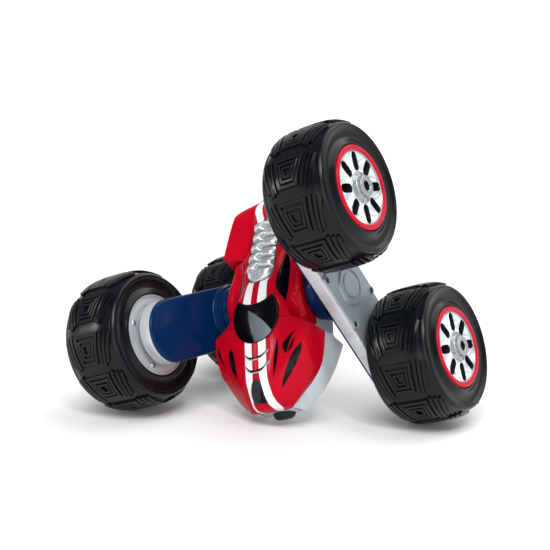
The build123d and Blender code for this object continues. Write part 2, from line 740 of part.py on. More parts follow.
def make_power_switch():
    """Slide knob in the belly slot, with its retaining flange inside the tub."""
    with BuildPart() as part:
        with BuildSketch(Plane.XY.offset(BELLY - 1.6)):
            with Locations((SWITCH_PLACE, 0)):
                Rectangle(SWITCH_LENGTH, SWITCH_WIDTH)
        extrude(amount=BODY_WALL + 2.0)
        with BuildSketch(Plane.XY.offset(BELLY + BODY_WALL + 0.3)):
            with Locations((SWITCH_PLACE, 0)):
                Rectangle(SWITCH_LENGTH, SWITCH_WIDTH + 5.0)
        extrude(amount=1.2)
    return part.part


def make_shell_screws():
    with BuildPart() as part:
        with BuildSketch(Plane.XY.offset(BELLY + 0.2)):
            with Locations(*SHELL_SCREWS):
                Circle(SCREW_HEAD_RADIUS)
        extrude(amount=0.8)
        with BuildSketch(Plane.XY.offset(BELLY + 1.0)):
            with Locations(*SHELL_SCREWS):
                Circle(SCREW_SHANK_RADIUS)
        extrude(amount=8.0)
    return part.part


# ---------------------------------------------------------------- placing

BODY_FROM_CAR = Location((0, 0, 0), (0, BODY_PITCH, 0))
ARM_SIDES = {
    "left": Location((0, 0, 0), (0, LEFT_ARM_PITCH, 0)) * Location((0, 0, 0), (-90, 0, 0)),
    "right": Location((0, 0, 0), (0, RIGHT_ARM_PITCH, 0)) * Location((0, 0, 0), (90, 0, 0)),
}
WHEELS = {
    "left_front": ("left", 1, 4.0),
    "left_rear": ("left", -1, 2.0),
    "right_front": ("right", 1, 9.0),
    "right_rear": ("right", -1, 20.0),
}
LEANING = Location((0, 0, 0), (LEAN, 0, 0))

tyre = make_tyre()


def wheel_place(car, wheel):
    """Place of one wheel, turned about its axle by its own rest angle."""
    side, end, turn = WHEELS[wheel]
    return car * ARM_SIDES[side] * Location((end * AXLE_REACH, 0, HALF_TRACK), (0, 0, turn))


# the ground plane and the middle of the footprint follow from the four tyres
outside = Compound([tyre.moved(wheel_place(LEANING, wheel)) for wheel in WHEELS]).bounding_box()
CAR = Location((-outside.center().X, -outside.center().Y, -outside.min.Z)) * LEANING
BODY = CAR * BODY_FROM_CAR


def place_wheels():
    rim = make_rim()
    rim_ring = make_rim_ring()
    back_plate = make_back_plate()
    screws = make_wheel_screws()
    axle = make_axle()
    for wheel, (side, end, turn) in WHEELS.items():
        place = wheel_place(CAR, wheel)
        keep(wheel + "_tyre", tyre, place)
        keep(wheel + "_rim", rim, place)
        keep(wheel + "_rim_ring", rim_ring, place)
        keep(wheel + "_back_plate", back_plate, place)
        keep(wheel + "_plate_screws", screws, place)
        keep(wheel + "_axle", axle, place)


def place_arms():
    inner_cover = make_inner_cover()
    outer_cover = make_outer_cover()
    cover_screws = make_cover_screws()
    motor = make_motor()
    reduction = make_reduction_gear()
    pinion_phase = meshed(0.0, REDUCTION_TEETH, pi, PINION_TEETH)
    pinion = gear(PINION_TEETH, FINE_MODULE, pinion_phase, FINE_PLANE, 1.0, 0.0)
    centre_plane = (STEP_PLANE[0] + 0.35, MAIN_PLANE[1])
    centre = gear(CENTRE_TEETH, MODULE, 0.0, centre_plane, IDLER_PIN_RADIUS + RUNNING_GAP, 0.0)
    for side, local in ARM_SIDES.items():
        place = CAR * local
        keep(side + "_arm_inner_cover", inner_cover, place)
        keep(side + "_arm_outer_cover", outer_cover, place)
        keep(side + "_cover_screws", cover_screws, place)
        keep(side + "_motor", motor, place)
        keep(side + "_motor_pinion", pinion, place)
        keep(side + "_reduction_gear", reduction, place)
        keep(side + "_centre_gear", centre, place)
    for wheel, (side, end, turn) in WHEELS.items():
        place = CAR * ARM_SIDES[side]
        direction = 0.0 if end > 0 else pi
        idler_phase = meshed(0.0, CENTRE_TEETH, direction, IDLER_TEETH)
        wheel_phase = meshed(idler_phase, IDLER_TEETH, direction, WHEEL_TEETH)
        idler = gear(IDLER_TEETH, MODULE, idler_phase, MAIN_PLANE, IDLER_PIN_RADIUS + RUNNING_GAP,
                     end * IDLER_REACH)
        keep(wheel + "_idler", idler, place)
        keep(wheel + "_wheel_gear",
             gear(WHEEL_TEETH, MODULE, wheel_phase, MAIN_PLANE, AXLE_RADIUS, end * AXLE_REACH), place)


def place_body():
    makers = {
        "upper_shell": make_upper_shell,
        "lower_shell": make_lower_shell,
        "canopy": make_canopy,
        "engine_block": make_engine_block,
        "side_panels": make_side_panels,
        "nose_insert": make_nose_insert,
        "front_bumper": make_front_bumper,
        "chassis": make_chassis,
        "battery": make_battery,
        "battery_door": make_battery_door,
        "circuit_board": make_circuit_board,
        "power_switch": make_power_switch,
        "shell_screws": make_shell_screws,
    }
    for name, maker in makers.items():
        keep(name, maker(), BODY)


place_wheels()
place_arms()
place_body()

os.makedirs("parts", exist_ok=True)
for name, part in PARTS.items():
    export_step(part, "parts/" + name + ".step")
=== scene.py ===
import bmesh
import bpy
import json
import math
import numpy as np
from mathutils import Matrix, Vector
from mathutils.bvhtree import BVHTree


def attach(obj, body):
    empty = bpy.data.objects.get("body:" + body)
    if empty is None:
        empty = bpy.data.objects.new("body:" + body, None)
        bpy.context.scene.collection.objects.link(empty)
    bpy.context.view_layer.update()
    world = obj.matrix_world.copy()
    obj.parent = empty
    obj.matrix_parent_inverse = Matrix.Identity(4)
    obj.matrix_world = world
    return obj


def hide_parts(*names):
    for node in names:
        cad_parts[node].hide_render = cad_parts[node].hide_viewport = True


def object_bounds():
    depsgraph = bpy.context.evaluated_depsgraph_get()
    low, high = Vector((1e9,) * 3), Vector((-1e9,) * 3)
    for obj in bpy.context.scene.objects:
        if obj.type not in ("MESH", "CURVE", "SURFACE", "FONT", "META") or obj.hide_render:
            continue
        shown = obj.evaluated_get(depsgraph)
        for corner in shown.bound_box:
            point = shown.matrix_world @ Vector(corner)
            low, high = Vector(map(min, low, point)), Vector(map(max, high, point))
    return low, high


# Looks of the RC stunt car. Local shapes are written in millimetres in three frames taken from the
# CAD joints: BODY (x forward, y left, z up, from the arm pivot), SIDE (x along an arm, z outward,
# from the pivot) and WHEEL (as SIDE, from the wheel's centre). Every piece is built there and then
# set into the row's frame in metres.

MM = 0.001
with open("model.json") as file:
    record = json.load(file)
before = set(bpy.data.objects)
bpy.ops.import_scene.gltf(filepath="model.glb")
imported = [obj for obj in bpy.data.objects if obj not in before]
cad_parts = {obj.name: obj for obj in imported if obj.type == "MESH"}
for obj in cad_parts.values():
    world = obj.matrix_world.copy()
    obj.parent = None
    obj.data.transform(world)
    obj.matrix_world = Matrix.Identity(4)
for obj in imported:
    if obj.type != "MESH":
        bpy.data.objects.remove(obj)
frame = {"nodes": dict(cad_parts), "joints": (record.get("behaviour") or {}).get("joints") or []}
cad_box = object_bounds()
JOINTS = {joint["name"]: joint for joint in frame["joints"]}
PIVOT = Vector(JOINTS["left_arm_pivot"]["pos_m"])
LEFT = Vector(JOINTS["left_arm_pivot"]["axis"]).normalized()
FORWARD = Vector(JOINTS["power_switch_slide"]["axis"]).normalized()
WHEELS = ("left_front", "left_rear", "right_front", "right_rear")


def axes_matrix(origin, x_axis, z_axis):
    """Matrix whose columns are the local axes, with y from z and x."""
    y_axis = z_axis.cross(x_axis)
    columns = (x_axis, y_axis, z_axis)
    return Matrix([[c[row] for c in columns] + [origin[row]] for row in range(3)] + [[0, 0, 0, 1]])


def wheel_centre(wheel):
    return Vector(JOINTS[wheel + "_wheel_spin"]["pos_m"])


BODY = axes_matrix(PIVOT, FORWARD, FORWARD.cross(LEFT))
SIDES = {}
for side, sign in (("left", 1), ("right", -1)):
    along = (wheel_centre(side + "_front") - wheel_centre(side + "_rear")).normalized()
    SIDES[side] = axes_matrix(PIVOT, along, LEFT * sign)

# how far each rim and tyre is turned about its axle at rest, in degrees
RIM_TURN = {"left_front": 11.0, "left_rear": 9.0, "right_front": 9.0, "right_rear": 20.0}
TYRE_TURN = {"left_front": 0.0, "left_rear": 0.0, "right_front": 0.0, "right_rear": 12.0}


def wheel_matrix(wheel, turn):
    side = wheel.split("_")[0]
    matrix = SIDES[side].copy()
    matrix.translation = wheel_centre(wheel)
    return matrix @ Matrix.Rotation(math.radians(turn), 4, "Z")

# ---------------------------------------------------------------- materials

def new_material(name, colour, roughness, metallic=0.0, coat=0.0, gloss=0.5):
    material = bpy.data.materials.new(name)
    material.use_nodes = True
    shader = material.node_tree.nodes["Principled BSDF"]
    shader.inputs["Base Color"].default_value = (*colour, 1.0)
    shader.inputs["Roughness"].default_value = roughness
    shader.inputs["Metallic"].default_value = metallic
    shader.inputs["Coat Weight"].default_value = coat
    shader.inputs["Coat Roughness"].default_value = 0.04
    shader.inputs["Specular IOR Level"].default_value = gloss
    return material, material.node_tree, shader


def link(tree, source, socket, target, input_name):
    tree.links.new(source.outputs[socket], target.inputs[input_name])


def add_node(tree, kind, values=None):
    """New shader node, with values set on its inputs."""
    node = tree.nodes.new("ShaderNode" + kind)
    for name, value in (values or {}).items():
        node.inputs[name].default_value = value
    return node


def add_noise(tree, scale, detail=4.0, coordinates="Object"):
    """Noise in the piece's own coordinates."""
    place = add_node(tree, "TexCoord")
    noise = add_node(tree, "TexNoise", {"Scale": scale, "Detail": detail})
    link(tree, place, coordinates, noise, "Vector")
    return noise


def vary_colour(tree, shader, noise, low, high):
    """Drives the base colour between two near shades."""
    ramp = add_node(tree, "ValToRGB")
    ramp.color_ramp.elements[0].position = 0.35
    ramp.color_ramp.elements[1].position = 0.65
    ramp.color_ramp.elements[0].color = (*low, 1.0)
    ramp.color_ramp.elements[1].color = (*high, 1.0)
    link(tree, noise, "Fac", ramp, "Fac")
    link(tree, ramp, "Color", shader, "Base Color")
    return ramp


def vary_roughness(tree, shader, noise, low, high):
    span = add_node(tree, "MapRange", {"From Min": 0.3, "From Max": 0.7, "To Min": low, "To Max": high})
    link(tree, noise, "Fac", span, "Value")
    link(tree, span, "Result", shader, "Roughness")


def add_bump(tree, shader, noise, strength, distance):
    bump = add_node(tree, "Bump", {"Strength": strength, "Distance": distance})
    link(tree, noise, "Fac", bump, "Height")
    link(tree, bump, "Normal", shader, "Normal")


def shade(colour, factor):
    return tuple(min(1.0, c * factor) for c in colour)


def moulded(name, colour, roughness, coat=0.0, metallic=0.0, grain=1800.0, depth=0.00003, gloss=0.5):
    """Injection-moulded or painted plastic: faint mottling, uneven gloss and a fine grain."""
    material, tree, shader = new_material(name, colour, roughness, metallic, coat, gloss)
    broad = add_noise(tree, 45.0)
    vary_colour(tree, shader, broad, shade(colour, 0.93), shade(colour, 1.06))
    vary_roughness(tree, shader, broad, roughness * 0.85, roughness * 1.2)
    fine = add_noise(tree, grain, 6.0)
    add_bump(tree, shader, fine, 0.35, depth)
    return material


def painted_reflection_material():
    """Painted reflection on the canopy: a bright patch whose painted light fades towards its left edge."""
    material, tree, shader = new_material("canopy_painted_reflection", (0.3, 0.3, 0.3), 0.3, gloss=0.2)
    place = add_node(tree, "TexCoord")
    parts = add_node(tree, "SeparateXYZ")
    link(tree, place, "Object", parts, "Vector")
    # the ramp paints the reflection from a darker grey on one side to a brighter grey on the other
    ramp = add_node(tree, "ValToRGB")
    ramp.color_ramp.elements[0].color = (0.045, 0.06, 0.07, 1.0)
    ramp.color_ramp.elements[1].color = (0.17, 0.21, 0.23, 1.0)
    span = add_node(tree, "MapRange", {"From Min": -2 * MM, "From Max": 17 * MM})
    link(tree, parts, "Y", span, "Value")
    link(tree, span, "Result", ramp, "Fac")
    link(tree, ramp, "Color", shader, "Base Color")
    return material


RUBBER = moulded("tyre_rubber", (0.0030, 0.0040, 0.0056), 0.22, grain=900.0, depth=0.00003, gloss=0.22)
RED = moulded("red_gloss", (0.43, 0.0008, 0.012), 0.22, coat=0.04, grain=300.0, depth=0.000002, gloss=0.07)
RING_RED = moulded("ring_red", (0.50, 0.002, 0.022), 0.28, coat=0.08, gloss=0.14)
BLUE = moulded("blue_gloss", (0.0005, 0.017, 0.075), 0.22, coat=0.06, grain=300.0, depth=0.000002, gloss=0.1)
SILVER = moulded("silver_satin", (0.32, 0.38, 0.41), 0.36, metallic=0.35, grain=2500.0)
# painted highlight: a lighter copy of the satin silver for the arm cover's side wall and soft edge
SILVER_PAINTED_HIGHLIGHT = moulded("silver_painted_highlight", (0.62, 0.64, 0.68), 0.34, metallic=0.35, grain=2500.0)
GREY = moulded("grey_satin", (0.52, 0.57, 0.61), 0.36, metallic=0.30, grain=2500.0)
PLATE = moulded("plate_satin", (0.58, 0.60, 0.63), 0.40, metallic=0.45, grain=2500.0)
CHROME = moulded("rim_chrome", (0.76, 0.80, 0.82), 0.24, metallic=0.45, grain=500.0, depth=0.000001)
# painted shade: a darker copy of the rim chrome for the hub, lip, barrel and lugs, standing in for darker
# reflections
CHROME_PAINTED_DARK_REFLECTION = moulded("chrome_painted_dark_reflection", (0.36, 0.40, 0.41), 0.28, metallic=0.55, grain=500.0, depth=0.000001)
# painted shade: near-black for the slot walls, the disc behind the slots and the hub's bore, where the open
# rim is in shade
SLOT_PAINTED_SHADE = moulded("slot_painted_shade", (0.012, 0.016, 0.017), 0.5, gloss=0.1)
BLACK = moulded("black_gloss", (0.0015, 0.0015, 0.003), 0.14, coat=0.05, grain=300.0, depth=0.000002,
                gloss=0.12)
TRIM = moulded("black_trim", (0.02, 0.02, 0.022), 0.5, grain=1200.0, depth=0.00008)
WHITE = moulded("white_stripe", (0.82, 0.82, 0.84), 0.25, coat=0.5)
STEEL = moulded("steel", (0.55, 0.56, 0.58), 0.3, metallic=1.0)
NYLON = moulded("gear_nylon", (0.75, 0.74, 0.68), 0.45)
BOARD = moulded("board_green", (0.01, 0.12, 0.04), 0.35, coat=0.3)
WRAP = moulded("battery_wrap", (0.01, 0.06, 0.22), 0.3, coat=0.4)
# near-black: the chassis's colour, and painted shade on the sheet in the gap around the engine
DARK = moulded("chassis_dark_and_gap_painted_shade", (0.012, 0.012, 0.013), 0.6)
ENGINE = moulded("engine_chrome", (0.56, 0.60, 0.62), 0.27, metallic=0.65, grain=500.0, depth=0.000002)
PAD = moulded("pad_rubber", (0.010, 0.0125, 0.0135), 0.36, grain=1200.0, depth=0.00006, gloss=0.25)
# painted reflection laid on the black canopy
PAINTED_REFLECTION = painted_reflection_material()


# ---------------------------------------------------------------- mesh helpers

# A surface is a pair of lists: vertices in millimetres, and faces.

def build_mesh(name, surface, smooth_angle, materials, marks=None):
    """Mesh of a surface, smooth up to an angle; marks give each face the number of its material."""
    vertices, faces = surface
    mesh = bpy.data.meshes.new(name)
    mesh.from_pydata([tuple(c * MM for c in v) for v in vertices], [], [tuple(f) for f in faces])
    if marks is not None:
        mesh.polygons.foreach_set("material_index", marks)
    for material in materials:
        mesh.materials.append(material)
    work = bmesh.new()
    work.from_mesh(mesh)
    bmesh.ops.remove_doubles(work, verts=work.verts, dist=0.002 * MM)
    bmesh.ops.recalc_face_normals(work, faces=work.faces)
    limit = math.radians(smooth_angle)
    for edge in work.edges:
        edge.smooth = len(edge.link_faces) == 2 and edge.calc_face_angle(0.0) < limit
    for face in work.faces:
        face.smooth = True
    work.to_mesh(mesh)
    work.free()
    return mesh


def place_piece(name, mesh, matrix, body, node=None):
    """Puts a mesh into the scene on a CAD body, in place of a CAD node where one is named."""
    piece = bpy.data.objects.new(name, mesh)
    bpy.context.scene.collection.objects.link(piece)
    piece.matrix_world = matrix
    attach(piece, body)
    if node:
        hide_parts(node)


class Skin:
    """Collects surfaces with their material numbers; side -1 mirrors what is added left to right."""

    def __init__(self):
        self.vertices = []
        self.faces = []
        self.marks = []
        self.side = 1

    def add(self, surface, mark=0):
        base = len(self.vertices)
        self.vertices += [(x, y * self.side, z) for x, y, z in surface[0]]
        self.faces += [tuple(base + k for k in face) for face in surface[1]]
        self.marks += [mark] * len(surface[1])

    def mesh(self, name, smooth_angle, materials):
        return build_mesh(name, (self.vertices, self.faces), smooth_angle, materials, self.marks)


def joined(surfaces):
    """One surface from several."""
    skin = Skin()
    for surface in surfaces:
        skin.add(surface)
    return skin.vertices, skin.faces


def moved(surface, dx, dy):
    return [(x + dx, y + dy, z) for x, y, z in surface[0]], surface[1]


def polar(radius, angle, z):
    return radius * math.cos(angle), radius * math.sin(angle), z


def grid_faces(rows, columns):
    """Quads between points that are stored row by row."""
    return [(i * columns + j, i * columns + j + 1, (i + 1) * columns + j + 1, (i + 1) * columns + j)
            for i in range(rows - 1) for j in range(columns - 1)]


def revolve(profile, steps, closed=False):
    """Profile of (radius, height) turned about the local z axis."""
    count = len(profile)
    vertices = [polar(r, 2 * math.pi * step / steps, z) for step in range(steps) for r, z in profile]
    faces = []
    for step in range(steps):
        after = (step + 1) % steps
        for i in range(count if closed else count - 1):
            j = (i + 1) % count
            faces.append((step * count + i, after * count + i, after * count + j, step * count + j))
    return vertices, faces


def loft_loops(loops, cap_first=False, cap_last=False):
    """Surface through loops with equal point counts, each a list of 3-D points."""
    vertices = [tuple(p) for loop in loops for p in loop]
    count = len(loops[0])
    faces = []
    for level in range(len(loops) - 1):
        low, high = level * count, (level + 1) * count
        for k in range(count):
            n = (k + 1) % count
            faces.append((low + k, low + n, high + n, high + k))
    if cap_first:
        faces.append(tuple(reversed(range(count))))
    if cap_last:
        faces.append(tuple((len(loops) - 1) * count + k for k in range(count)))
    return vertices, faces


def smooth_line(points, per_span):
    """Catmull-Rom curve through 2-D or 3-D points."""
    p = np.array([points[0], *points, points[-1]], float)
    p[0] = 2 * p[1] - p[2]
    p[-1] = 2 * p[-2] - p[-3]
    out = []
    for i in range(1, len(p) - 2):
        for t in np.arange(per_span) / per_span:
            a = 2 * p[i]
            b = (p[i + 1] - p[i - 1]) * t
            c = (2 * p[i - 1] - 5 * p[i] + 4 * p[i + 1] - p[i + 2]) * t * t
            d = (3 * p[i] - p[i - 1] - 3 * p[i + 1] + p[i + 2]) * t ** 3
            out.append((a + b + c + d) / 2)
    out.append(p[-2])
    return [tuple(float(c) for c in point) for point in out]


# ---------------------------------------------------------------- tyres

WHEEL_RADIUS = 55.0
TYRE_HALF_WIDTH = 29.0
BEAD_RADIUS = 33.0
TREAD_DEPTH = 1.9
RIDGE_CHAMFER = 0.35
MOTIFS = 10
PITCH = 2 * math.pi * WHEEL_RADIUS / MOTIFS
# nested trapezoids of a motif: near and far edge, half widths there, bar width
TRAPEZOIDS = ((-12.6, 9.6, 11.4, 7.4, 2.7), (-8.6, 5.8, 7.7, 4.9, 2.3), (-5.1, 2.4, 4.2, 2.7, 1.9))
# raked bars beside them: start and end
BARS = ((-15.2, 12.6), (-13.6, 14.6), (-11.6, 11.6))
BAR_WIDTH = 2.7


def crown_table():
    """Arc length, radius and offset along the tyre's outline from the middle of the tread."""
    power = 3.78
    t = np.linspace(0, math.pi / 2, 600)
    offset = TYRE_HALF_WIDTH * np.sin(t)
    rise = (1 - np.sin(t) ** power).clip(0) ** (1 / power)
    radius = BEAD_RADIUS + (WHEEL_RADIUS - BEAD_RADIUS) * rise
    arc = np.concatenate([[0], np.cumsum(np.hypot(np.diff(offset), np.diff(radius)))])
    return arc, radius, offset


ARC, ARC_RADIUS, ARC_OFFSET = crown_table()


def on_tyre(around, across, depth, direction):
    """Point of the tread: distance around, distance across along the outline, depth under it."""
    w = abs(across)
    radius = np.interp(w, ARC, ARC_RADIUS)
    offset = np.interp(w, ARC, ARC_OFFSET)
    step = 0.4
    slope_r = np.interp(w + step, ARC, ARC_RADIUS) - np.interp(max(w - step, 0), ARC, ARC_RADIUS)
    slope_o = np.interp(w + step, ARC, ARC_OFFSET) - np.interp(max(w - step, 0), ARC, ARC_OFFSET)
    size = math.hypot(slope_r, slope_o) or 1.0
    radius -= depth * slope_o / size
    offset += depth * slope_r / size
    angle = direction * around / WHEEL_RADIUS
    return (radius * math.cos(angle), radius * math.sin(angle), math.copysign(offset, across))


def tread_line(points, closed):
    """The points of a line of the tread, filled in so that they are at most 3 mm apart."""
    line = []
    corners = points + points[:1] if closed else points
    for start, end in zip(corners, corners[1:]):
        a = np.array(start, float)
        b = np.array(end, float)
        parts = max(1, int(np.linalg.norm(b - a) / 3))
        line += [a + (b - a) * k / parts for k in range(parts)]
    if not closed:
        line.append(np.array(points[-1], float))
    return line


def ridge(points, width, direction, closed=False):
    """A raised bar of the tread that follows a line of (around, across) points, mitred at its corners."""
    line = tread_line(points, closed)
    total = len(line)
    half = width / 2
    bury = TREAD_DEPTH + 0.6
    section = ((-half - 0.35, bury), (-half, RIDGE_CHAMFER), (-half + RIDGE_CHAMFER, 0),
               (half - RIDGE_CHAMFER, 0), (half, RIDGE_CHAMFER), (half + 0.35, bury))
    vertices = []
    for i, point in enumerate(line):
        before = line[i - 1] if (closed or i > 0) else None
        after = line[(i + 1) % total] if (closed or i < total - 1) else None
        first = (point - before) if before is not None else (after - point)
        second = (after - point) if after is not None else (point - before)
        first = first / np.linalg.norm(first)
        second = second / np.linalg.norm(second)
        normal = np.array([-(first + second)[1], (first + second)[0]])
        normal /= np.linalg.norm(normal)
        mitre = 1.0 / max(0.5, float(normal @ np.array([-first[1], first[0]])))
        for side, depth in section:
            at = point + normal * side * mitre
            vertices.append(on_tyre(at[0], at[1], depth, direction))
    faces = []
    size = len(section)
    for i in range(total if closed else total - 1):
        j = (i + 1) % total
        faces += [(i * size + k, j * size + k, j * size + k + 1, i * size + k + 1) for k in range(size - 1)]
    if not closed:
        faces.append(tuple(range(size)))
        faces.append(tuple(reversed([(total - 1) * size + k for k in range(size)])))
    return vertices, faces


def motif(direction, start):
    """One tread motif: nested trapezoids with raked bars on both sides, on a plain carcass."""
    parts = []
    for near, far, wide, narrow, width in TRAPEZOIDS:
        corners = [(near, -wide), (near, wide), (far, narrow), (far, -narrow)]
        corners = [(start + s, w) for s, w in corners]
        parts.append(ridge(corners, width, direction, closed=True))
    for side in (-1, 1):
        for k, (head, tail) in enumerate(BARS):
            outer = 15.7 + 3.9 * k
            lean = 0.18 + 0.03 * k
            line = [(start + s, side * (outer - lean * (s + 12))) for s in (head, 0, tail)]
            parts.append(ridge(line, BAR_WIDTH, direction))
    return parts


def tyre_mesh(direction):
    crown = [on_tyre(0, w, TREAD_DEPTH, 1) for w in np.linspace(0, 29, 16)]
    side = [(50.4, 22.6), (50.2, 24), (49.5, 25.6), (48.3, 26.8), (47.2, 26.9), (46.2, 26),
            (44.6, 25), (41.6, 24.4), (38.4, 24.6), (36, 25.8), (34.4, 27), (33.2, 27.2),
            (32.6, 26.4), (32.3, 22)]
    half = smooth_line([(x, z) for x, y, z in crown if z < 21] + side, 3)
    profile = [(r, -z) for r, z in reversed(half[1:])] + half
    parts = [revolve(profile, 180, closed=True)]
    for index in range(MOTIFS):
        parts += motif(direction, index * PITCH)
    return build_mesh("tyre", joined(parts), 28, [RUBBER])


TYRE_MESHES = {"left": tyre_mesh(1), "right": tyre_mesh(-1)}
for wheel in WHEELS:
    place_piece(wheel + "_tyre_tread", TYRE_MESHES[wheel.split("_")[0]],
                wheel_matrix(wheel, TYRE_TURN[wheel]), wheel + "_wheel", wheel + "_tyre")

# ---------------------------------------------------------------- rims, rings, back plates

RIM_FACE = 26.3
RIM_SLOTS = 8
SLOT_HALF_WIDTH = 3.5
SLOT_INNER = 12.8
SLOT_OUTER = 27.2
SLOT_DEPTH = 9.0
HUB_RADIUS = 12.2
LIP_RADIUS = 27.8
PETAL_MIDDLE = 20.4
PETAL_REACH = 7.6
BOWL_DEPTH = 5.0
PLATE_FACE = -25.9
PLATE_SCREW_CIRCLE = 26.3
PLATE_SCREW_START = 21.0
SCREW_STEPS = 24


def slot_half_angle(radius):
    """Half the angle of a face slot at this radius, closing with rounded ends."""
    middle = (SLOT_INNER + SLOT_OUTER) / 2
    reach = (SLOT_OUTER - SLOT_INNER) / 2
    fill = max(0, 1 - abs((radius - middle) / reach) ** 5) ** 0.5
    return math.asin(min(0.99, SLOT_HALF_WIDTH * fill / radius))


def petal_height(radius, share):
    """Face height over a petal: a round bowl between its edges; share runs from -1 to 1 across it."""
    along = (radius - PETAL_MIDDLE) / PETAL_REACH
    bowl = max(0, 1 - along ** 2) * (1 - share ** 2)
    return RIM_FACE + 0.5 - BOWL_DEPTH * bowl ** 0.85


def add_petals(skin):
    """Eight dished petals with open slots between them; the slot walls and a disc behind them are painted
    near-black as shade.
    """
    radii = np.linspace(HUB_RADIUS, LIP_RADIUS, 44)
    shares = np.linspace(-1, 1, 33)
    sector = math.pi / RIM_SLOTS
    for petal in range(RIM_SLOTS):
        rows = []
        for radius in radii:
            half = sector - slot_half_angle(radius)
            rows.append([polar(radius, (2 * petal + 1) * sector + share * half, petal_height(radius, share))
                         for share in shares])
        skin.add((sum(rows, []), grid_faces(len(radii), len(shares))), 0)
        # slot walls: painted shade
        for edge in (0, -1):
            wall = [point for row in rows for point in (row[edge], (*row[edge][:2], RIM_FACE - SLOT_DEPTH))]
            skin.add((wall, grid_faces(len(radii), 2)), 1)
    # dark disc behind the slots: painted shade
    skin.add(revolve([(12, RIM_FACE - 8.8), (29, RIM_FACE - 8.8)], 48), 1)


def lug(angle):
    """Small square block at the hub's foot, narrower at its top."""
    loops = []
    for z, half_x, half_y in ((0.75, 1.2, 1.1), (2.25, 0.936, 0.858)):
        loops.append([polar(math.hypot(x, y), math.atan2(y, x) + angle, RIM_FACE + z)
                      for x, y in ((10.4 - half_x, -half_y), (10.4 + half_x, -half_y),
                                   (10.4 + half_x, half_y), (10.4 - half_x, half_y))])
    return loft_loops(loops, cap_first=True, cap_last=True)


def rim_mesh():
    skin = Skin()
    add_petals(skin)
    # hub, lip, barrel and lugs take the darker copy of the chrome: painted dark reflection
    hub = smooth_line([(HUB_RADIUS, RIM_FACE - 0.2), (12, RIM_FACE + 0.7), (10.6, RIM_FACE + 1.5),
                       (8.9, RIM_FACE + 2.2), (8.3, RIM_FACE + 3.4), (8.1, RIM_FACE + 5.2),
                       (7.6, RIM_FACE + 5.95), (6.4, RIM_FACE + 6)], 4)
    skin.add(revolve(hub + [(4.6, RIM_FACE + 5.9), (3.9, RIM_FACE + 5.2)], 56), 2)
    lip = [(27.1, RIM_FACE - 0.2), (27.2, RIM_FACE + 0.4), (27.6, RIM_FACE + 0.8), (28.4, RIM_FACE + 0.8)]
    skin.add(revolve(lip, 96), 2)
    barrel = [(31.9, RIM_FACE), (32.6, 20), (32.6, -23), (31, -23), (31, 18), (29, 18)]
    skin.add(revolve(barrel, 72), 2)
    for k in range(RIM_SLOTS):
        skin.add(lug(2 * math.pi * (k + 0.5) / RIM_SLOTS), 2)
    # the bore is painted dark as shade in the hole
    bore = [(3.9, RIM_FACE + 5.2), (3.75, RIM_FACE - 2), (0.01, RIM_FACE - 2.2)]
    skin.add(revolve(bore, 40), 1)
    return skin.mesh("rim", 38, [CHROME, SLOT_PAINTED_SHADE, CHROME_PAINTED_DARK_REFLECTION])


def ring_mesh():
    outline = [(32.2, 25), (32.2, 27.4), (31.7, 28.1), (30.6, 28.3), (28.9, 28.1), (28, 27.4),
               (27.8, 25)]
    return build_mesh("rim_ring", revolve(outline, 128, closed=True), 50, [RING_RED])


def plate_mesh():
    """Back plate: flat rim, a dark groove and a shallow step up to the middle."""
    outline = [(3.2, -25.2), (24.2, -25.2), (24.8, -25.6), (29.7, PLATE_FACE), (29.9, -25), (30.7, -25),
               (30.9, PLATE_FACE), (33.4, PLATE_FACE), (34.1, -25.3), (34.2, -24), (3.2, -24)]
    return build_mesh("back_plate", revolve(outline, 128, closed=True), 25, [PLATE])


def cross_screw(centre, radius, height, up):
    """Domed screw head with a cross recess; up is +1 or -1 along the local z axis."""
    cx, cy, cz = centre
    profile = ((1, 0), (1, 0.45), (0.86, 0.85), (0.62, 1))
    loops = [[(radius * wide, height * rise)] * SCREW_STEPS for wide, rise in profile]
    # the recess is a star, long at the four arms of the cross and short between them
    loops.append([(radius * 0.16, height * 0.95) if k % 6 else (radius * 0.55, height * 0.9)
                  for k in range(SCREW_STEPS)])
    rings = []
    for loop in loops:
        points = [polar(r, 2 * math.pi * k / SCREW_STEPS, z) for k, (r, z) in enumerate(loop)]
        rings.append([(cx + x, cy + y, cz + up * z) for x, y, z in points])
    vertices, faces = loft_loops(rings)
    middle = len(vertices)
    star = middle - SCREW_STEPS
    vertices.append((cx, cy, cz + up * height * 0.35))
    faces += [(star + k, star + (k + 1) % SCREW_STEPS, middle) for k in range(SCREW_STEPS)]
    return vertices, faces


def plate_screws_mesh():
    heads = []
    for k in range(4):
        angle = math.radians(PLATE_SCREW_START) + math.pi / 2 * k
        heads.append(cross_screw(polar(PLATE_SCREW_CIRCLE, angle, PLATE_FACE + 0.3), 2.1, 1.1, -1))
    return build_mesh("plate_screws", joined(heads), 30, [STEEL])


WHEEL_PARTS = (("_rim", rim_mesh(), "rim_silver"), ("_rim_ring", ring_mesh(), "ring_red"),
               ("_back_plate", plate_mesh(), "silver_plastic"),
               ("_plate_screws", plate_screws_mesh(), "steel"))
for wheel in WHEELS:
    for suffix, mesh, slot_name in WHEEL_PARTS:
        place_piece(wheel + suffix + "_detail", mesh, wheel_matrix(wheel, RIM_TURN[wheel]),
                    wheel + "_wheel", wheel + suffix)

# ---------------------------------------------------------------- swing arms

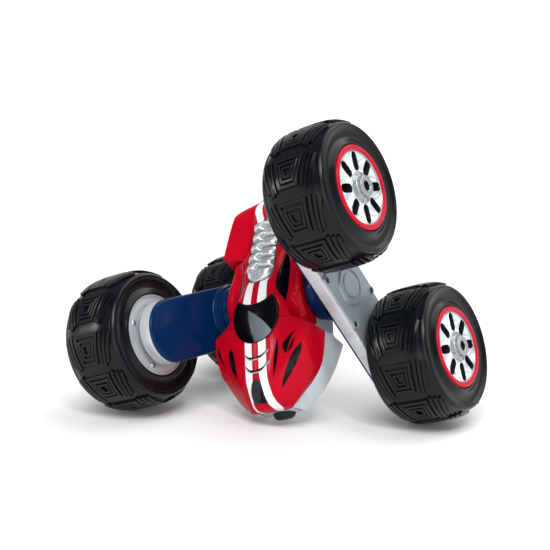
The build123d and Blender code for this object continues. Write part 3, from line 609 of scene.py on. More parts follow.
AXLE_REACH = 79.0
ARM_HALF_WIDTH = 25.5
ARM_INNER_FACE = 52.0
ARM_SEAM = 54.5
ARM_OUTER_FACE = 65.0
ARM_PANEL_FACE = 66.6
ARM_BOSS_FACE = 68.7
INNER_ROUNDING = 2.4
OUTER_ROUNDING = 1.5
PANEL_LINES = (-52, -27, 0, 27, 52)
PANEL_LINE_DEPTH = 0.45
PANEL_LINE_HALF_WIDTH = 0.35
SCREW_SEATS = [(22.6 * sx, 20.9 * sy) for sx in (-1, 1) for sy in (-1, 1)]


def stadium_points(half_width, stations=PANEL_LINES):
    """Arm outline as a loop of points, with stations on the straights."""
    angles = [-math.pi / 2 + math.pi * k / 28 for k in range(29)]
    right = [(AXLE_REACH + half_width * math.cos(a), half_width * math.sin(a)) for a in angles]
    left = [(-x, -y) for x, y in right]
    top = [(x, half_width) for x in reversed(stations)]
    return right + top + left + [(x, -half_width) for x in stations]


def stadium_loop(inset, z):
    return [(x, y, z) for x, y in stadium_points(ARM_HALF_WIDTH - inset)]


def inner_cover_mesh():
    """Blue half: a soft-edged stadium with the stepped hub that enters the body."""
    loops = [stadium_loop(2.2, ARM_SEAM - 0.1), stadium_loop(0, ARM_SEAM - 0.1)]
    rise = ARM_INNER_FACE + INNER_ROUNDING - ARM_SEAM + 0.5
    for k in range(7):
        turn = math.pi / 2 * k / 6
        loops.append(stadium_loop(INNER_ROUNDING * (1 - math.cos(turn)),
                                  ARM_SEAM - 0.5 - INNER_ROUNDING * math.sin(turn) + rise * (k / 6)))
    hub = smooth_line([(26.6, 52.3), (25.7, 51.2), (25.3, 49.6), (24.9, 48)], 3)
    hub += smooth_line([(23.6, 47.6), (23.3, 46.2), (23.3, 43.2), (22.9, 42.2)], 3)
    hub += smooth_line([(21.6, 41.8), (21.3, 41), (21.3, 38.9), (20.9, 38.2), (18.5, 38.1)], 3)
    hub += [(17.9, 38.1), (17.9, 27), (0.01, 27)]
    cover = joined([loft_loops(loops, cap_last=True), revolve(hub, 96)])
    return build_mesh("inner_cover", cover, 40, [BLUE])


def grooved_loop(inset, z, cut):
    """Outline of the outer cover with a notch of depth cut at each panel line."""
    stations = [line + step for line in PANEL_LINES
                for step in (-PANEL_LINE_HALF_WIDTH, 0, PANEL_LINE_HALF_WIDTH)]
    return [(x, y - math.copysign(cut if x in PANEL_LINES else 0, y), z)
            for x, y in stadium_points(ARM_HALF_WIDTH - inset, stations)]


def outer_cover_mesh():
    """Silver half: side wall with five panel lines, soft edge, raised centre panel, ringed boss; the side
    wall and soft edge take a lighter copy of the silver as painted highlight.
    """
    skin = Skin()
    wall = [grooved_loop(1.8, ARM_SEAM, 0), grooved_loop(0.1, ARM_SEAM, 0),
            grooved_loop(0, ARM_SEAM + 0.3, PANEL_LINE_DEPTH),
            grooved_loop(0, ARM_OUTER_FACE - 1.6, PANEL_LINE_DEPTH)]
    for k in range(1, 6):
        turn = math.pi / 2 * k / 5
        wall.append(grooved_loop(OUTER_ROUNDING * (1 - math.cos(turn)),
                                 ARM_OUTER_FACE - OUTER_ROUNDING + OUTER_ROUNDING * math.sin(turn),
                                 PANEL_LINE_DEPTH * (1 - k / 5)))
    # side wall and soft edge in the lighter silver: painted highlight
    skin.add(loft_loops(wall), 1)
    skin.add((wall[-1], [tuple(range(len(wall[-1])))]), 0)
    skin.add(panel_with_seats(), 0)
    boss = smooth_line([(16.4, -0.1), (15.8, 0.9), (14.9, 1.7), (13.6, 1.9)], 4)
    boss += [(12.4, 1.9), (12.1, 0.9), (10.5, 0.8), (10.2, 1.8)]
    boss += smooth_line([(9.8, 2), (5, 1.9), (0.01, 1.6)], 3)
    skin.add(revolve([(r, ARM_PANEL_FACE + z) for r, z in boss], 96), 0)
    step = [(22.4, ARM_OUTER_FACE - 0.3), (22, ARM_OUTER_FACE + 0.4), (21.4, ARM_BOSS_FACE - 0.5),
            (20.8, ARM_BOSS_FACE), (4, ARM_BOSS_FACE), (3.1, ARM_BOSS_FACE - 0.6), (3.1, ARM_OUTER_FACE)]
    for end in (-1, 1):
        skin.add(moved(revolve(step, 72), end * AXLE_REACH, 0), 0)
    return skin.mesh("outer_cover", 32, [SILVER, SILVER_PAINTED_HIGHLIGHT])


def panel_with_seats():
    """Centre panel as a rounded slab; the seats are separate dished rings set into it."""
    half_x, half_y, corner = 26.5, ARM_HALF_WIDTH - 1.2, 3.5
    loops = []
    for inset, z in ((-0.2, ARM_OUTER_FACE - 0.4), (0, ARM_PANEL_FACE - 0.6),
                     (0.25, ARM_PANEL_FACE - 0.15), (0.8, ARM_PANEL_FACE)):
        loop = []
        for cx, cy, start in ((1, 1, 0), (-1, 1, 90), (-1, -1, 180), (1, -1, 270)):
            for k in range(7):
                x, y, height = polar(corner - inset, math.radians(start + 90 * k / 6), z)
                loop.append((cx * (half_x - corner) + x, cy * (half_y - corner) + y, height))
        loops.append(loop)
    seat = [(3.6, -0.05), (3.4, 0.35), (3, 0.4), (2.7, 0.1), (2.6, -0.05)]
    ring = revolve([(r, ARM_PANEL_FACE + z) for r, z in seat], 32)
    return joined([loft_loops(loops, cap_last=True)] + [moved(ring, x, y) for x, y in SCREW_SEATS])


def cover_screws_mesh():
    heads = [cross_screw((x, y, ARM_PANEL_FACE - 0.35), 2.55, 0.75, 1) for x, y in SCREW_SEATS]
    return build_mesh("cover_screws", joined(heads), 30, [TRIM])


ARM_PARTS = (("_arm_inner_shell", "_arm_inner_cover", inner_cover_mesh(), "blue_plastic"),
             ("_arm_outer_shell", "_arm_outer_cover", outer_cover_mesh(), "silver_plastic"),
             ("_arm_screw_heads", "_cover_screws", cover_screws_mesh(), "steel"))
for side in ("left", "right"):
    for suffix, node, mesh, slot_name in ARM_PARTS:
        place_piece(side + suffix, mesh, SIDES[side], side + "_arm", side + node)

# ---------------------------------------------------------------- body shells

BELLY = -21.6

# Edges of the right-handed half of the body. Those of the bonnet run from the waist to the nose,
# those of the waist and the tail run backwards.
BONNET_RIDGE = [(24, 0, 37.6), (42, 0, 37.3), (60, 0, 36.9), (70, 0, 36.2), (78, 0, 33.6), (85, 0, 30.9),
                (90, 0, 28.2), (92.6, 0, 24)]
BONNET_LOBE = [(24.6, 32.5, 33.7), (45, 30, 34.3), (60, 28.5, 31.9), (72, 24.5, 29.4), (83, 20.5, 25.8),
               (91.9, 17.6, 20.6)]
FENDER_CREASE = [(30, 44, 32), (45, 44, 31), (60, 43.4, 24.5), (65, 41, 22), (73, 37, 19.5), (83, 30, 18),
                 (92, 20, 17)]
FRONT_PARTING = [(35, 47, 8), (45.5, 46.2, 8.3), (54.6, 45, 8.8), (63, 42.5, 9.3), (72.8, 35.6, 10),
                 (81, 27, 10.5), (91, 15.5, 11)]
FRONT_LOWER_EDGE = [(39.4, 44, -20.7), (52, 43.4, -14.8), (66, 40.5, -9), (82, 31, -4.5), (92.4, 19, 0)]
FRONT_KEEL = [(36, 32, BELLY), (56, 30, -16.5), (75, 22, -9.5), (91.5, 9, -1.5)]
WAIST_RIDGE = [(24, 0, 37.6), (10, 0, 37.4), (0, 0, 35.6), (-8, 0, 33.2), (-13, 0, 30), (-20, 0, 27.4),
               (-30, 0, 25), (-36, 0, 23.6)]
WAIST_SHOULDER = [(24, 22, 34.9), (8, 20.5, 34.4), (-5, 17, 31), (-14, 16.5, 28.5), (-36, 15, 24.5)]
WAIST_VALLEY = [(24.6, 32.5, 33.7), (16, 27.5, 31.5), (10.9, 26.4, 29.5), (-5.2, 25.5, 23.8), (-26, 24, 20),
                (-36, 24, 20.6)]
BOSS_TOP = [(25, 33, 22), (20, 33, 21.5), (12, 33, 24.4), (0, 33, 26.6), (-12, 33.2, 24.6),
            (-24, 33.5, 20.4), (-36, 34, 17)]
BOSS_SIDE = [(27, 37, 18), (20, 37, 18.8), (12, 37, 23.2), (0, 37, 25.8), (-12, 37, 23.4), (-24, 37, 16.5),
             (-35, 37, 12)]
TAIL_RIDGE = [(-36, 0, 23.6), (-51, 0, 19), (-62, 0, 16.2), (-68, 0, 18.6), (-76, 0, 21.2), (-84, 0, 17),
              (-90, 0, 9), (-93, 0, 3)]
TAIL_SHOULDER = [(-36, 15, 24.5), (-51, 14.5, 20), (-65, 14, 17.4), (-76, 13, 17.6), (-86, 11, 11),
                 (-92.8, 9, 3.6)]
TAIL_VALLEY = [(-36, 24, 20.6), (-48, 24, 14.2), (-58, 24, 10.4), (-75, 22, 6.8), (-86, 18, 5.2),
               (-92.5, 14.6, 4.2)]
POD_EDGE = [(-40, 41, 25), (-60, 41.4, 17.9), (-79, 41, 11), (-86, 40, 6.2), (-91, 32, 1.6),
            (-95.6, 22, -3.4)]
POD_SIDE = [(-34.4, 44, 4.5), (-60, 44.6, 1.8), (-79, 43.4, -1), (-87, 40, -3.2), (-92, 32, -4.8),
            (-96, 22, -6.2)]
POD_LOWER_EDGE = [(-36, 43.5, -18), (-60, 42.5, -14), (-80, 38, -10.5), (-89, 31, -8.8), (-95, 21, -8)]
TAIL_KEEL = [(-36, 32, BELLY), (-60, 30, -17), (-80, 23, -12.4), (-94, 13, -9)]

STATIONS = 48
# number of the stripe's material on the upper shell; the red paint is 0
WHITE_MARK = 1


def rail(points):
    """Smooth edge through the points, sampled at even steps along the body."""
    dense = np.array(smooth_line(points, 12))
    order = np.argsort(dense[:, 0])
    x = np.linspace(points[0][0], points[-1][0], STATIONS)
    y = np.interp(x, dense[order, 0], dense[order, 1])
    z = np.interp(x, dense[order, 0], dense[order, 2])
    return np.stack([x, y, z], axis=1)


def strip(first, second, across, bulge=0, lift=(0, 0, 1)):
    """Quads between two rails, bowed by bulge (one number or one for each station) along lift."""
    first = np.asarray(first, float)
    second = np.asarray(second, float)
    bow = np.broadcast_to(np.asarray(bulge, float), (len(first),))
    vertices = []
    for a, b, swell in zip(first, second, bow):
        for j in range(across + 1):
            s = j / across
            point = a * (1 - s) + b * s + 4 * s * (1 - s) * swell * np.asarray(lift, float)
            vertices.append(tuple(float(c) for c in point))
    return vertices, grid_faces(len(first), across + 1)


def beside(base, reach, drop):
    """Rail beside the ridge: its distance from the middle and its drop, each by place along the body."""
    x = base[:, 0]
    y = np.interp(x, *zip(*reach))
    z = base[:, 2] - np.interp(x, *zip(*drop))
    return np.stack([x, y, z], axis=1)


def add_bonnet(shell):
    ridge_line = rail(BONNET_RIDGE)
    inner = [(24, 3.2), (69, 3.2), (76, 3.8), (82, 4.2), (88, 5), (93, 7.4)]
    outer = [(24, 10.2), (75, 10.4), (84, 11.3), (88, 12.8), (93, 15.4)]
    if shell.side < 0:
        inner = [(24, 3.2), (68, 3.2), (75, 4.6), (82, 7), (88, 8.2), (93, 8)]
        outer = [(24, 10.4), (84, 10.6), (93, 10.4)]
    stripe_in = beside(ridge_line, inner, [(24, 0.05), (93, 0.3)])
    stripe_out = beside(ridge_line, outer, [(24, 0.7), (78, 0.8), (93, 1.6)])
    foot = stripe_out + np.array([0, 0.9, -0.9])
    lobe = rail(BONNET_LOBE)
    crease = rail(FENDER_CREASE)
    parting = rail(FRONT_PARTING)
    swell = np.interp(np.linspace(0, 1, STATIONS), [0, 0.25, 0.7, 1], [0, 0.9, 1.3, 0.5])
    shell.add(strip(ridge_line, stripe_in, 2))
    shell.add(strip(stripe_in, stripe_out, 4), WHITE_MARK)
    shell.add(strip(stripe_out, foot, 1))
    shell.add(strip(foot, lobe, 10, swell))
    shell.add(strip(lobe, crease, 8, swell * 0.5))
    shell.add(strip(crease, parting, 8, 0.9, (0, 1, 0)))
    # front of the nose, from the ends of the rails down to the grey tub
    ends = [ridge_line[-1], stripe_in[-1], stripe_out[-1], foot[-1], lobe[-1], crease[-1], parting[-1]]
    sill = [(93, 0, 15), (93, 6, 14.6), (92.8, 10, 14), (92.6, 12, 13.4),
            (92.2, 14, 12.6), (91.6, 15, 11.8), parting[-1]]
    for k in range(6):
        shell.add(strip(ends[k:k + 2], sill[k:k + 2], 5, 0.4, (1, 0, 0)), WHITE_MARK if k == 1 else 0)
    # face of the wheel arch behind the fender
    inner_edge = [(24.6, 32.5, 33.7), (26.4, 35, 21), (29, 37, 8)]
    shell.add(strip(inner_edge, [crease[0], (32.4, 45.6, 20), parting[0]], 3))


def add_waist(shell):
    ridge_line = rail(WAIST_RIDGE)
    stripe_in = beside(ridge_line, [(-36, 3.2), (24, 3.2)], [(-36, 0.05), (24, 0.05)])
    stripe_out = beside(ridge_line, [(-36, 10), (-9, 10), (5, 11.6), (24, 10.3)], [(-36, 0.7), (24, 0.7)])
    shoulder = rail(WAIST_SHOULDER)
    valley = rail(WAIST_VALLEY)
    top = rail(BOSS_TOP)
    side = rail(BOSS_SIDE)
    low = np.stack([side[:, 0], side[:, 1], np.linspace(5, 1, STATIONS)], axis=1)
    shell.add(strip(ridge_line, stripe_in, 2))
    shell.add(strip(stripe_in, stripe_out, 4), WHITE_MARK)
    shell.add(strip(stripe_out, shoulder, 4, 0.3))
    shell.add(strip(shoulder, valley, 6, 0.5))
    shell.add(strip(valley, top, 6, -0.8))
    shell.add(strip(top, side, 4, 0.5))
    shell.add(strip(side, low, 2))
    # wall between the boss and the fender's arch
    shell.add(strip([valley[0], (24.6, 32.5, 33.7)], [top[0], (26.4, 35, 21)], 2))


def add_tail(shell):
    ridge_line = rail(TAIL_RIDGE)
    stripe_in = beside(ridge_line, [(-93, 2), (-36, 2.8)], [(-93, 0.05), (-36, 0.05)])
    stripe_out = beside(ridge_line, [(-93, 6.5), (-80, 9.6), (-36, 10.5)], [(-93, 0.3), (-36, 0.7)])
    shoulder = rail(TAIL_SHOULDER)
    valley = rail(TAIL_VALLEY)
    edge = rail(POD_EDGE)
    side = rail(POD_SIDE)
    rounded = edge + np.array([0, 1, -1])
    shell.add(strip(ridge_line, stripe_in, 2))
    shell.add(strip(stripe_in, stripe_out, 4), WHITE_MARK)
    shell.add(strip(stripe_out, shoulder, 3, 0.2))
    shell.add(strip(shoulder, valley, 5, 0.4))
    shell.add(strip(valley, edge, 6, 0.5))
    shell.add(strip(edge, rounded, 3, 0.25, (0, 1, 0.6)))
    shell.add(strip(rounded, side, 6, 0.5, (0, 1, 0)))
    # front face of the pod, down to the boss
    top = [valley[0], (-38, 32, 22.8), edge[0], rounded[0]]
    foot = [(-36, 34, 17), (-35.4, 36, 13), (-34.6, 40.5, 12), (-34.4, 42, 11.6)]
    shell.add(strip(top, foot, 4, -0.5, (1, 0, 0)))
    base = [(-36, 34, 17), (-35, 37, 6), (-34.5, 40, 5), side[0]]
    shell.add(strip(foot, base, 3))
    # end of the tail
    upper = [ridge_line[-1], stripe_in[-1], stripe_out[-1], shoulder[-1], valley[-1], edge[-1]]
    lower = [(-94.5, 0, -5), (-94.8, 2, -5.1), (-95, 6, -5.2), (-95.4, 10, -5.5),
             (-95.8, 15, -5.8), side[-1]]
    shell.add(strip(upper, lower, 4))


def upper_shell():
    shell = Skin()
    for shell.side in (1, -1):
        add_bonnet(shell)
        add_waist(shell)
        add_tail(shell)
    return shell


def to_middle(line):
    """The same rail on the body's middle plane."""
    return line * np.array([1, 0, 1])


def add_tub_front(tub):
    parting = rail(FRONT_PARTING)
    edge = rail(FRONT_LOWER_EDGE)
    keel = rail(FRONT_KEEL)
    tub.add(strip(parting, edge, 8, 1, (0, 1, 0)))
    tub.add(strip(edge, keel, 5, -0.6))
    tub.add(strip(keel, to_middle(keel), 4))
    arch = [parting[0], (37.4, 45.8, -8), edge[0]]
    tub.add(strip(arch, [(29, 37, 8), (29, 36.4, -18.5), (36, 32, BELLY)], 3))
    nose_top = [(93, 0, 15), (92.8, 10, 14), (91.8, 14.6, 12), parting[-1]]
    nose_low = [(88, 0, -1.5), (90, 6, -1.5), keel[-1], edge[-1]]
    tub.add(strip(nose_top, nose_low, 5, 0.3, (1, 0, 0)))


def add_tub_waist(tub):
    def level(start, end, y, first_z, last_z):
        return np.linspace((start, y, first_z), (end, y, last_z), STATIONS)

    wall_low = level(29, -35, 36.4, -18.5, -18.5)
    bilge = level(36, -36, 32, BELLY, BELLY)
    tub.add(strip(level(29, -35, 37, 8, 1), wall_low, 5))
    tub.add(strip(wall_low, bilge, 3, 0.4, (0, 1, -1)))
    tub.add(strip(bilge, to_middle(bilge), 4))


def add_tub_rear(tub):
    side = rail(POD_SIDE)
    low = rail(POD_LOWER_EDGE)
    keel = rail(TAIL_KEEL)
    tub.add(strip(side, low, 6, 0.8, (0, 1, 0)))
    tub.add(strip(low, keel, 4))
    tub.add(strip(keel, to_middle(keel), 4))
    front = [(-35, 37, 1), (-35, 36.4, -18.5), (-36, 32, BELLY)]
    tub.add(strip(front, [side[0], (-35.2, 44.2, -8), low[0]], 3))
    tail_top = [(-94.5, 0, -5), (-95.4, 10, -5.5), side[-1]]
    tub.add(strip(tail_top, [to_middle(keel)[-1], keel[-1], low[-1]], 3))


def lower_shell():
    tub = Skin()
    for tub.side in (1, -1):
        add_tub_front(tub)
        add_tub_waist(tub)
        add_tub_rear(tub)
    return tub


UPPER = upper_shell()
SURFACE = BVHTree.FromPolygons(UPPER.vertices, UPPER.faces)


def on_surface(x, y, lift):
    """Point of the upper shell straight under (x, y), raised by lift."""
    hit = SURFACE.ray_cast(Vector((x, y, 80)), Vector((0, 0, -1)))[0]
    return (x, y, hit.z + lift)


def patch(first, second, across, lift, crown=0):
    """Thin cover laid on the shell between two plan edges, each a list of (x, y)."""
    count = max(len(first), len(second)) * 6
    edges = []
    for points in (first, second):
        dense = np.array(smooth_line(points, 10))
        t = np.linspace(0, 1, len(dense))
        samples = np.linspace(0, 1, count)
        edges.append(np.stack([np.interp(samples, t, dense[:, k]) for k in (0, 1)], axis=1))
    vertices = []
    for a, b in zip(*edges):
        for j in range(across + 1):
            s = j / across
            x, y = a * (1 - s) + b * s
            rise = lift + crown * (4 * s * (1 - s)) ** 0.5
            vertices.append(on_surface(float(x), float(y), rise))
    width = across + 1
    faces = grid_faces(count, width)
    # skirt down to the shell all round
    border = [i * width for i in range(count)] + [(count - 1) * width + j for j in range(1, width)]
    border += [i * width + across for i in reversed(range(count - 1))]
    border += list(reversed(range(1, across)))
    base = len(vertices)
    vertices += [(vertices[k][0], vertices[k][1], vertices[k][2] - lift - 0.4) for k in border]
    total = len(border)
    faces += [(border[k], border[(k + 1) % total], base + (k + 1) % total, base + k) for k in range(total)]
    return vertices, faces


def ribbon(centre, widths, across=3, lift=0.12, crown=0):
    """Tapering stroke on the shell along a plan line."""
    dense = np.array(smooth_line(centre, 10))
    t = np.linspace(0, 1, len(dense))
    size = np.interp(t, np.linspace(0, 1, len(widths)), widths) * 1.2
    slope = np.gradient(dense, axis=0)
    slope /= np.linalg.norm(slope, axis=1)[:, None]
    normal = np.stack([-slope[:, 1], slope[:, 0]], axis=1)
    reach = normal * size[:, None] / 2
    return patch((dense + reach)[::3], (dense - reach)[::3], across, lift, crown)


# dark generic strokes of the bonnet: centre line and widths
STROKES = (
    ([(42, 21.6), (50, 20.2), (60, 18), (72, 15.4)], [0.4, 2.6, 2.2, 0.1]),
    ([(37, 37), (42.5, 31.6), (48, 28), (53.8, 27.4)], [0.1, 2.4, 4.2, 1.2]),
    ([(42, 36.4), (46, 34.2), (50, 31.6), (53, 29)], [0.1, 1.5, 1.6, 0.3]),
    ([(47, 41), (53, 36.8), (60, 31.8), (69, 26), (80, 19)], [0.3, 4, 4.6, 3.2, 0.1]),
    ([(42, -25.8), (48, -25.4), (57, -23.8), (67, -21.4)], [2.4, 5.2, 4.6, 0.1]),
    ([(36.6, -41), (44, -39.6), (54.4, -35)], [0.2, 2.6, 0.1]),
)
# scoops across the stripes, drawn as black crescents that are painted shade for their grooves: rear edge and
# front edge
SCOOPS = (
    ([(48.8, -11.3), (52.3, -6), (52.9, 0), (51.7, 6.4), (48, 12.5)],
     [(49.4, -11.3), (53.8, -6), (54.6, 0), (53.4, 6.4), (48.5, 12.5)]),
    ([(57.6, -11.4), (62.2, -6), (63.2, 0), (62, 6.4), (56.8, 13)],
     [(58.2, -11.4), (63.8, -6), (65, 0), (63.8, 6.4), (57.4, 13)]),
)


def strokes_mesh():
    return build_mesh("strokes", joined([ribbon(line, widths) for line, widths in STROKES]), 50, [BLACK])


def scoops_mesh():
    skin = Skin()
    # black crescents: painted shade inside the grooves
    for rear, front in SCOOPS:
        skin.add(patch(rear, front, 3, 0.15), 0)
    for rear, front in SCOOPS:
        skin.add(patch(front, [(x + 0.8, y) for x, y in front], 4, 0.3, 0.35), 1)
    return skin.mesh("scoops", 50, [BLACK, GREY])


# ---------------------------------------------------------------- canopy, engine, trim

CANOPY_MIDDLE = (19.5, 0.4)
CANOPY_RADIUS = 22.4
CANOPY_REAR = 4.6
CANOPY_APEX = (21, 0.4)
CANOPY_SHARES = (0.985, 0.96, 0.92, 0.85, 0.75, 0.62, 0.48, 0.34, 0.2, 0.08)
PAINTED_REFLECTION_APEX = (14.6, -4.6)
PAINTED_REFLECTION_COLUMNS = 14
ENGINE_FRONT = -9.4
ENGINE_REAR = -67.0
ENGINE_HALF_WIDTH = 13.2
RIB_PITCH = 9.6


def canopy_outline(count):
    """Plan outline: a disc with a hollow rear edge between two corners."""
    cx, cy = CANOPY_MIDDLE
    start = math.acos((CANOPY_REAR - cx) / CANOPY_RADIUS)
    points = []
    for k in range(count):
        angle = -start + 2 * start * k / (count - 1)
        points.append((cx + CANOPY_RADIUS * math.cos(angle), cy + CANOPY_RADIUS * math.sin(angle)))
    y_end = points[-1][1]
    y_start = points[0][1]
    for k in range(1, count // 2):
        y = y_end + (y_start - y_end) * k / (count // 2)
        hollow = 1 - abs((y - cy) / (y_end - cy)) ** 2.2
        points.append((CANOPY_REAR + 5.2 * hollow, y))
    return points


def canopy_height(y, share):
    """Dome over the outline; share is 0 in the middle and 1 at the rim."""
    return 37.5 - 0.0028 * y * y + 1.5 * max(0, 1 - share ** 2.4) ** 0.7


def canopy_mesh():
    outline = canopy_outline(72)
    cx, cy = CANOPY_APEX
    loops = [[(x, y, canopy_height(y, 1) - drop) for x, y in outline] for drop in (3, 0.4)]
    for share in CANOPY_SHARES:
        ring = [(cx + (x - cx) * share, cy + (y - cy) * share) for x, y in outline]
        loops.append([(x, y, canopy_height(y, share)) for x, y in ring])
    return build_mesh("canopy_dome", loft_loops(loops, cap_last=True), 42, [BLACK])


def canopy_painted_reflection_mesh():
    """Painted reflection: a bright patch laid on the canopy from an apex near the middle out to the rim."""
    left = smooth_line([PAINTED_REFLECTION_APEX, (21, -3.4), (30, -1.4), (41, 0)], 10)
    right = smooth_line([PAINTED_REFLECTION_APEX, (20, 3), (26.5, 10.6), (34.4, 16.9)], 10)
    vertices = []
    for (x0, y0), (x1, y1) in zip(left, right):
        for j in range(PAINTED_REFLECTION_COLUMNS + 1):
            s = j / PAINTED_REFLECTION_COLUMNS
            x, y = x0 + (x1 - x0) * s, y0 + (y1 - y0) * s
            # swell the far edge out to the round rim
            reach = math.hypot(x - PAINTED_REFLECTION_APEX[0], y - PAINTED_REFLECTION_APEX[1]) / 27.5
            swell = 2.6 * 4 * s * (1 - s) * max(0, reach) ** 2
            x += swell * 0.8
            y += swell * 0.45
            share = math.hypot(x - CANOPY_MIDDLE[0], y - CANOPY_MIDDLE[1]) / CANOPY_RADIUS
            vertices.append((x, y, canopy_height(y, min(share, 0.955)) + 0.09))
    return build_mesh("canopy_painted_reflection", (vertices, grid_faces(len(left), PAINTED_REFLECTION_COLUMNS + 1)), 50, [PAINTED_REFLECTION])


def engine_half_width(x):
    """Plan outline: parallel sides, drawn in at both ends."""
    front = max(0, min(1, (ENGINE_FRONT - x) / 14))
    rear = max(0, min(1, (x - ENGINE_REAR) / 4))
    return ENGINE_HALF_WIDTH * (1 - (1 - front) ** 2.6) ** 0.5 * (1 - (1 - rear) ** 3) ** 0.5


def engine_height(x, y):
    """Deck of the dummy engine: two banks of rounded ribs with a wavy seam, and a plain front cap."""
    deck = float(np.interp(x, [-67, -51, -40, -30, -20, -9.4], [21.8, 24.6, 27.8, 31.2, 33.8, 35]))
    half = max(engine_half_width(x), 0.1)
    share = min(1, abs(y) / half)
    shell = 1 - share ** 2.6
    cap = min(1, max(0, (x + 21) / 2.5))
    seam = -0.6 + 1.7 * math.sin(2 * math.pi * (x + 20) / RIB_PITCH)
    bank = 1 if y > seam else -1
    from_seam = abs(y - seam)
    phase = (x + 20.0 + bank * 1.2) / RIB_PITCH
    across = 2 * (phase - math.floor(phase)) - 1
    wave = (1 - abs(across) ** 2.4) ** 0.7
    crown = (1 - math.exp(-(from_seam / 1.6) ** 2)) ** 0.5
    rib = 5.2 * wave * (0.35 + 0.65 * crown) * (0.35 + 0.65 * shell ** 0.5)
    return deck - 7.0 + 2.2 * shell ** 0.6 + rib * (1 - cap) + (4.6 * shell ** 0.5) * cap


def engine_mesh():
    rows = 240
    columns = 64
    vertices = []
    for i in range(rows + 1):
        x = ENGINE_REAR + (ENGINE_FRONT - ENGINE_REAR) * i / rows
        half = engine_half_width(x)
        foot = 8.0 + 14.0 * i / rows
        vertices.append((x, -half, foot))
        for j in range(columns + 1):
            y = half * math.sin(math.pi / 2 * (2 * j / columns - 1))
            vertices.append((x, y, engine_height(x, y)))
        vertices.append((x, half, foot))
    parts = [(vertices, grid_faces(rows + 1, columns + 3))]
    # three louvres on the front cap
    blade_faces = [(0, 1, 3, 2), (2, 3, 5, 4), (4, 5, 7, 6), (0, 2, 4, 6), (1, 7, 5, 3)]
    for k in range(3):
        x = -12.6 - 3.0 * k
        level = engine_height(x, 0) - 0.1
        blade = [(x + dx, y, level + dz) for dx, dz in ((-0.9, 0), (-0.8, 0.9), (0.5, 1.1), (0.9, 0))
                 for y in (-4.4, 3.4)]
        parts.append((blade, blade_faces))
    return build_mesh("engine_ribs", joined(parts), 50, [ENGINE])


def painted_gap_shade_mesh():
    """Painted shade: a dark sheet laid on the shell around the engine, where the gap is in shade."""
    left = []
    right = []
    for x in np.linspace(ENGINE_REAR - 0.9, ENGINE_FRONT + 0.8, 61):
        inside = min(max(x, ENGINE_REAR + 0.02), ENGINE_FRONT - 0.02)
        half = engine_half_width(inside) + 0.9
        left.append(on_surface(float(x), -half, 0.10))
        right.append(on_surface(float(x), half, 0.10))
    return build_mesh("engine_gap_painted_shade", strip(left, right, 12, 0.6), 50, [DARK])


def side_panel_mesh():
    parts = []
    for sign in (1, -1):
        lower = [(-33, 22.6 * sign), (-26, 24.0 * sign), (-5.2, 25.2 * sign), (10.9, 26.1 * sign)]
        upper = [(-33, 22.0 * sign), (-14, 17.4 * sign), (-2.4, 18.1 * sign), (10.6, 25.7 * sign)]
        parts.append(patch(lower, upper, 8, 0.35, 0.25))
    return build_mesh("side_panel_trim", joined(parts), 40, [BLACK])


def nose_insert_mesh():
    """Rubber nose pad: a rounded bar that curves down the left of a hollow, drawn as a flat black patch of
    painted shade.
    """
    skin = Skin()
    # flat black patch: painted shade of the hollow
    skin.add(patch([(72.4, -1), (77, -3), (83, -4.6), (88, -4.4)],
                   [(72.8, 1.6), (77, 3.6), (83, 4.2), (88.8, 5.6)], 6, 0.14), 0)
    bar = [(71.2, 0.2), (72.6, 0), (75.4, -0.8), (79.6, -2.6), (84, -3.4), (86.8, -3.2), (88.2, -2.8)]
    skin.add(ribbon(bar, [2.4, 5.6, 7.4, 7.4, 6.8, 5.4, 2.6], 10, 0.6, 1.9), 1)
    return skin.mesh("nose_pad", 45, [BLACK, PAD])


def bumper_mesh():
    """Rounded rubber block in front of the nose."""
    loops = []
    ends = ((9.4, 2.6), (9, 1.5), (8, 0.7), (5.6, 0.1), (2, 0))
    for y, inset in [(-y, inset) for y, inset in ends] + list(reversed(ends)):
        outline = smooth_line([(84, -2.6 + inset), (89, -4.6 + inset), (93.4 - inset, -4.0 + inset),
                               (96.2 - inset, -1.6 + inset), (96.4 - inset, 1.8),
                               (94.6 - inset, 4.6 - inset), (90, 5.6 - inset), (84, 4.0 - inset)], 5)
        loops.append([(x, y, z) for x, z in outline])
    return build_mesh("bumper_block", loft_loops(loops, cap_first=True, cap_last=True), 45, [PAD])


for name, mesh, slot_name, node in (
        ("upper_shell_skin", UPPER.mesh("upper_shell_skin", 28, [RED, WHITE]), "red_plastic", "upper_shell"),
        ("lower_shell_skin", lower_shell().mesh("lower_shell_skin", 28, [GREY]), "grey_plastic",
         "lower_shell"),
        ("bonnet_strokes", strokes_mesh(), "black_plastic", None),
        ("bonnet_scoops", scoops_mesh(), "black_plastic", None),
        ("canopy_dome", canopy_mesh(), "black_plastic", "canopy"),
        ("engine_ribs", engine_mesh(), "chromed", "engine_block"),
        ("side_panel_trim", side_panel_mesh(), "black_plastic", "side_panels"),
        ("nose_pad", nose_insert_mesh(), "bumper_rubber", "nose_insert"),
        ("bumper_block", bumper_mesh(), "bumper_rubber", "front_bumper"),
        # bright patch on the canopy: painted reflection
        ("canopy_painted_reflection", canopy_painted_reflection_mesh(), "black_plastic", None),
        # dark sheet around the engine: painted shade of the gap
        ("engine_gap_painted_shade", painted_gap_shade_mesh(), "black_trim", None)):
    place_piece(name, mesh, BODY, "body", node)

# ---------------------------------------------------------------- materials of the CAD nodes

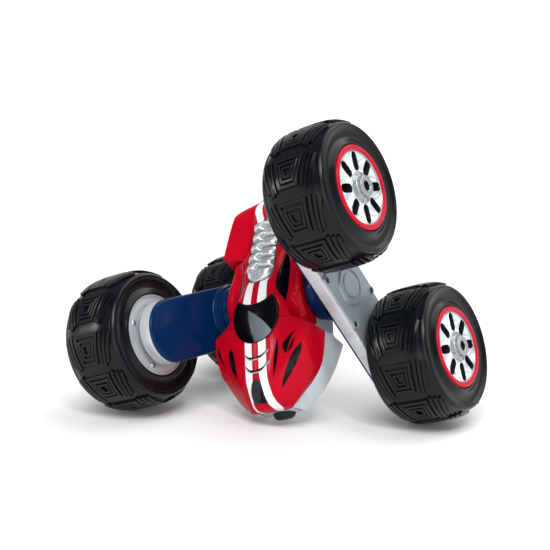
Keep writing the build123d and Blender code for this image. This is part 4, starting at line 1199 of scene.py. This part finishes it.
# by the end of a node's name; the longest match counts
NODE_MATERIALS = {
    "_tyre": RUBBER, "_rim": CHROME, "_rim_ring": RING_RED, "_back_plate": PLATE, "screws": STEEL,
    "_axle": STEEL, "_motor": STEEL, "_gear": NYLON, "_idler": NYLON, "_pinion": NYLON,
    "inner_cover": BLUE, "outer_cover": SILVER, "upper_shell": RED, "lower_shell": GREY, "canopy": BLACK,
    "engine_block": CHROME, "side_panels": BLACK, "nose_insert": TRIM, "front_bumper": TRIM,
    "chassis": DARK, "battery": WRAP, "battery_door": TRIM, "circuit_board": BOARD, "power_switch": TRIM,
}
for name, node in frame["nodes"].items():
    matches = [ending for ending in NODE_MATERIALS if name.endswith(ending)]
    node.data.materials.clear()
    node.data.materials.append(NODE_MATERIALS[max(matches, key=len)])

# ---------------------------------------------------------------- floor, light and camera

FLOOR_REACH = 40000


def sun(name, strength, width, direction):
    """Soft distant light; direction points from the object to the light."""
    data = bpy.data.lights.new(name, "SUN")
    data.energy = strength
    data.angle = math.radians(width)
    lamp = bpy.data.objects.new(name, data)
    bpy.context.scene.collection.objects.link(lamp)
    lamp.rotation_euler = Vector(direction).to_track_quat("Z", "Y").to_euler()


def world_lobe(tree, place, direction, inner, outer, peak=1):
    """Peak within the inner angle of a direction, 0 outside the outer angle."""
    dot = add_node(tree, "VectorMath", {1: Vector(direction).normalized()})
    dot.operation = "DOT_PRODUCT"
    link(tree, place, "Generated", dot, 0)
    span = add_node(tree, "MapRange", {"From Min": math.cos(math.radians(outer)),
                                       "From Max": math.cos(math.radians(inner)), "To Max": peak})
    span.interpolation_type = "SMOOTHSTEP"
    link(tree, dot, "Value", span, "Value")
    return span


def brightest(tree, first, second, output):
    """Node with the larger of two lobes; output names the first one's socket."""
    node = add_node(tree, "Math")
    node.operation = "MAXIMUM"
    link(tree, first, output, node, 0)
    link(tree, second, "Result", node, 1)
    return node


def build_floor():
    reach = FLOOR_REACH
    corners = [(-reach, -reach, 0), (reach, -reach, 0), (reach, reach, 0), (-reach, reach, 0)]
    material, tree, shader = new_material("floor_paper", (0.9, 0.9, 0.9), 0.85)
    vary_colour(tree, shader, add_noise(tree, 3), (0.90, 0.90, 0.90), (0.92, 0.92, 0.92))
    floor = bpy.data.objects.new("floor", build_mesh("floor", (corners, [(0, 1, 2, 3)]), 35, [material]))
    bpy.context.scene.collection.objects.link(floor)
    floor.location.z = cad_box[0][2] - 0.0002


def build_world():
    """White behind the car and around the horizon, a dim softbox at the left, grey elsewhere."""
    world = bpy.data.worlds.new("studio")
    bpy.context.scene.world = world
    world.use_nodes = True
    tree = world.node_tree
    background = tree.nodes["Background"]
    background.inputs["Color"].default_value = (1, 1, 1, 1)
    place = add_node(tree, "TexCoord")
    backdrop = world_lobe(tree, place, (-0.83, -0.558, 0), 24, 40)
    horizon = world_lobe(tree, place, (0, 0, -1), 94, 106)
    softbox = world_lobe(tree, place, (-0.80, 0.54, 0.26), 24, 48, 0.45)
    paper = brightest(tree, backdrop, horizon, "Result")
    strength = add_node(tree, "MapRange", {"To Min": 0.22, "To Max": 1.05})
    link(tree, brightest(tree, paper, softbox, "Value"), "Value", strength, "Value")
    link(tree, strength, "Result", background, "Strength")


def build_camera():
    """Camera at the viewing angle of a low three-quarter front view."""
    data = bpy.data.cameras.new("camera")
    data.lens = 77.06
    data.sensor_width = 36.0
    camera = bpy.data.objects.new("camera", data)
    bpy.context.scene.collection.objects.link(camera)
    forward = Vector((-0.81811, -0.55015, -0.16748)).normalized()
    up = Vector((-0.12204, -0.11845, 0.98542))
    right = forward.cross(up).normalized()
    camera.matrix_world = axes_matrix(PIVOT + Vector((0.7847, 0.5197, 0.1825)), right, -forward)
    bpy.context.scene.camera = camera


build_floor()
build_world()
build_camera()
sun("key", 1.9, 35, (0.55, 0.25, 0.80))
sun("top", 1.5, 60, (-0.45, 0.25, 0.86))
sun("fill", 0.9, 50, (0.85, 0.50, 0.17))
sun("tread_glint", 0.35, 9, (0.62, -0.74, 0.26))
sun("shoulder_glint", 0.45, 8, (0.39, 0.52, 0.76))
bpy.context.scene.view_settings.view_transform = "Standard"
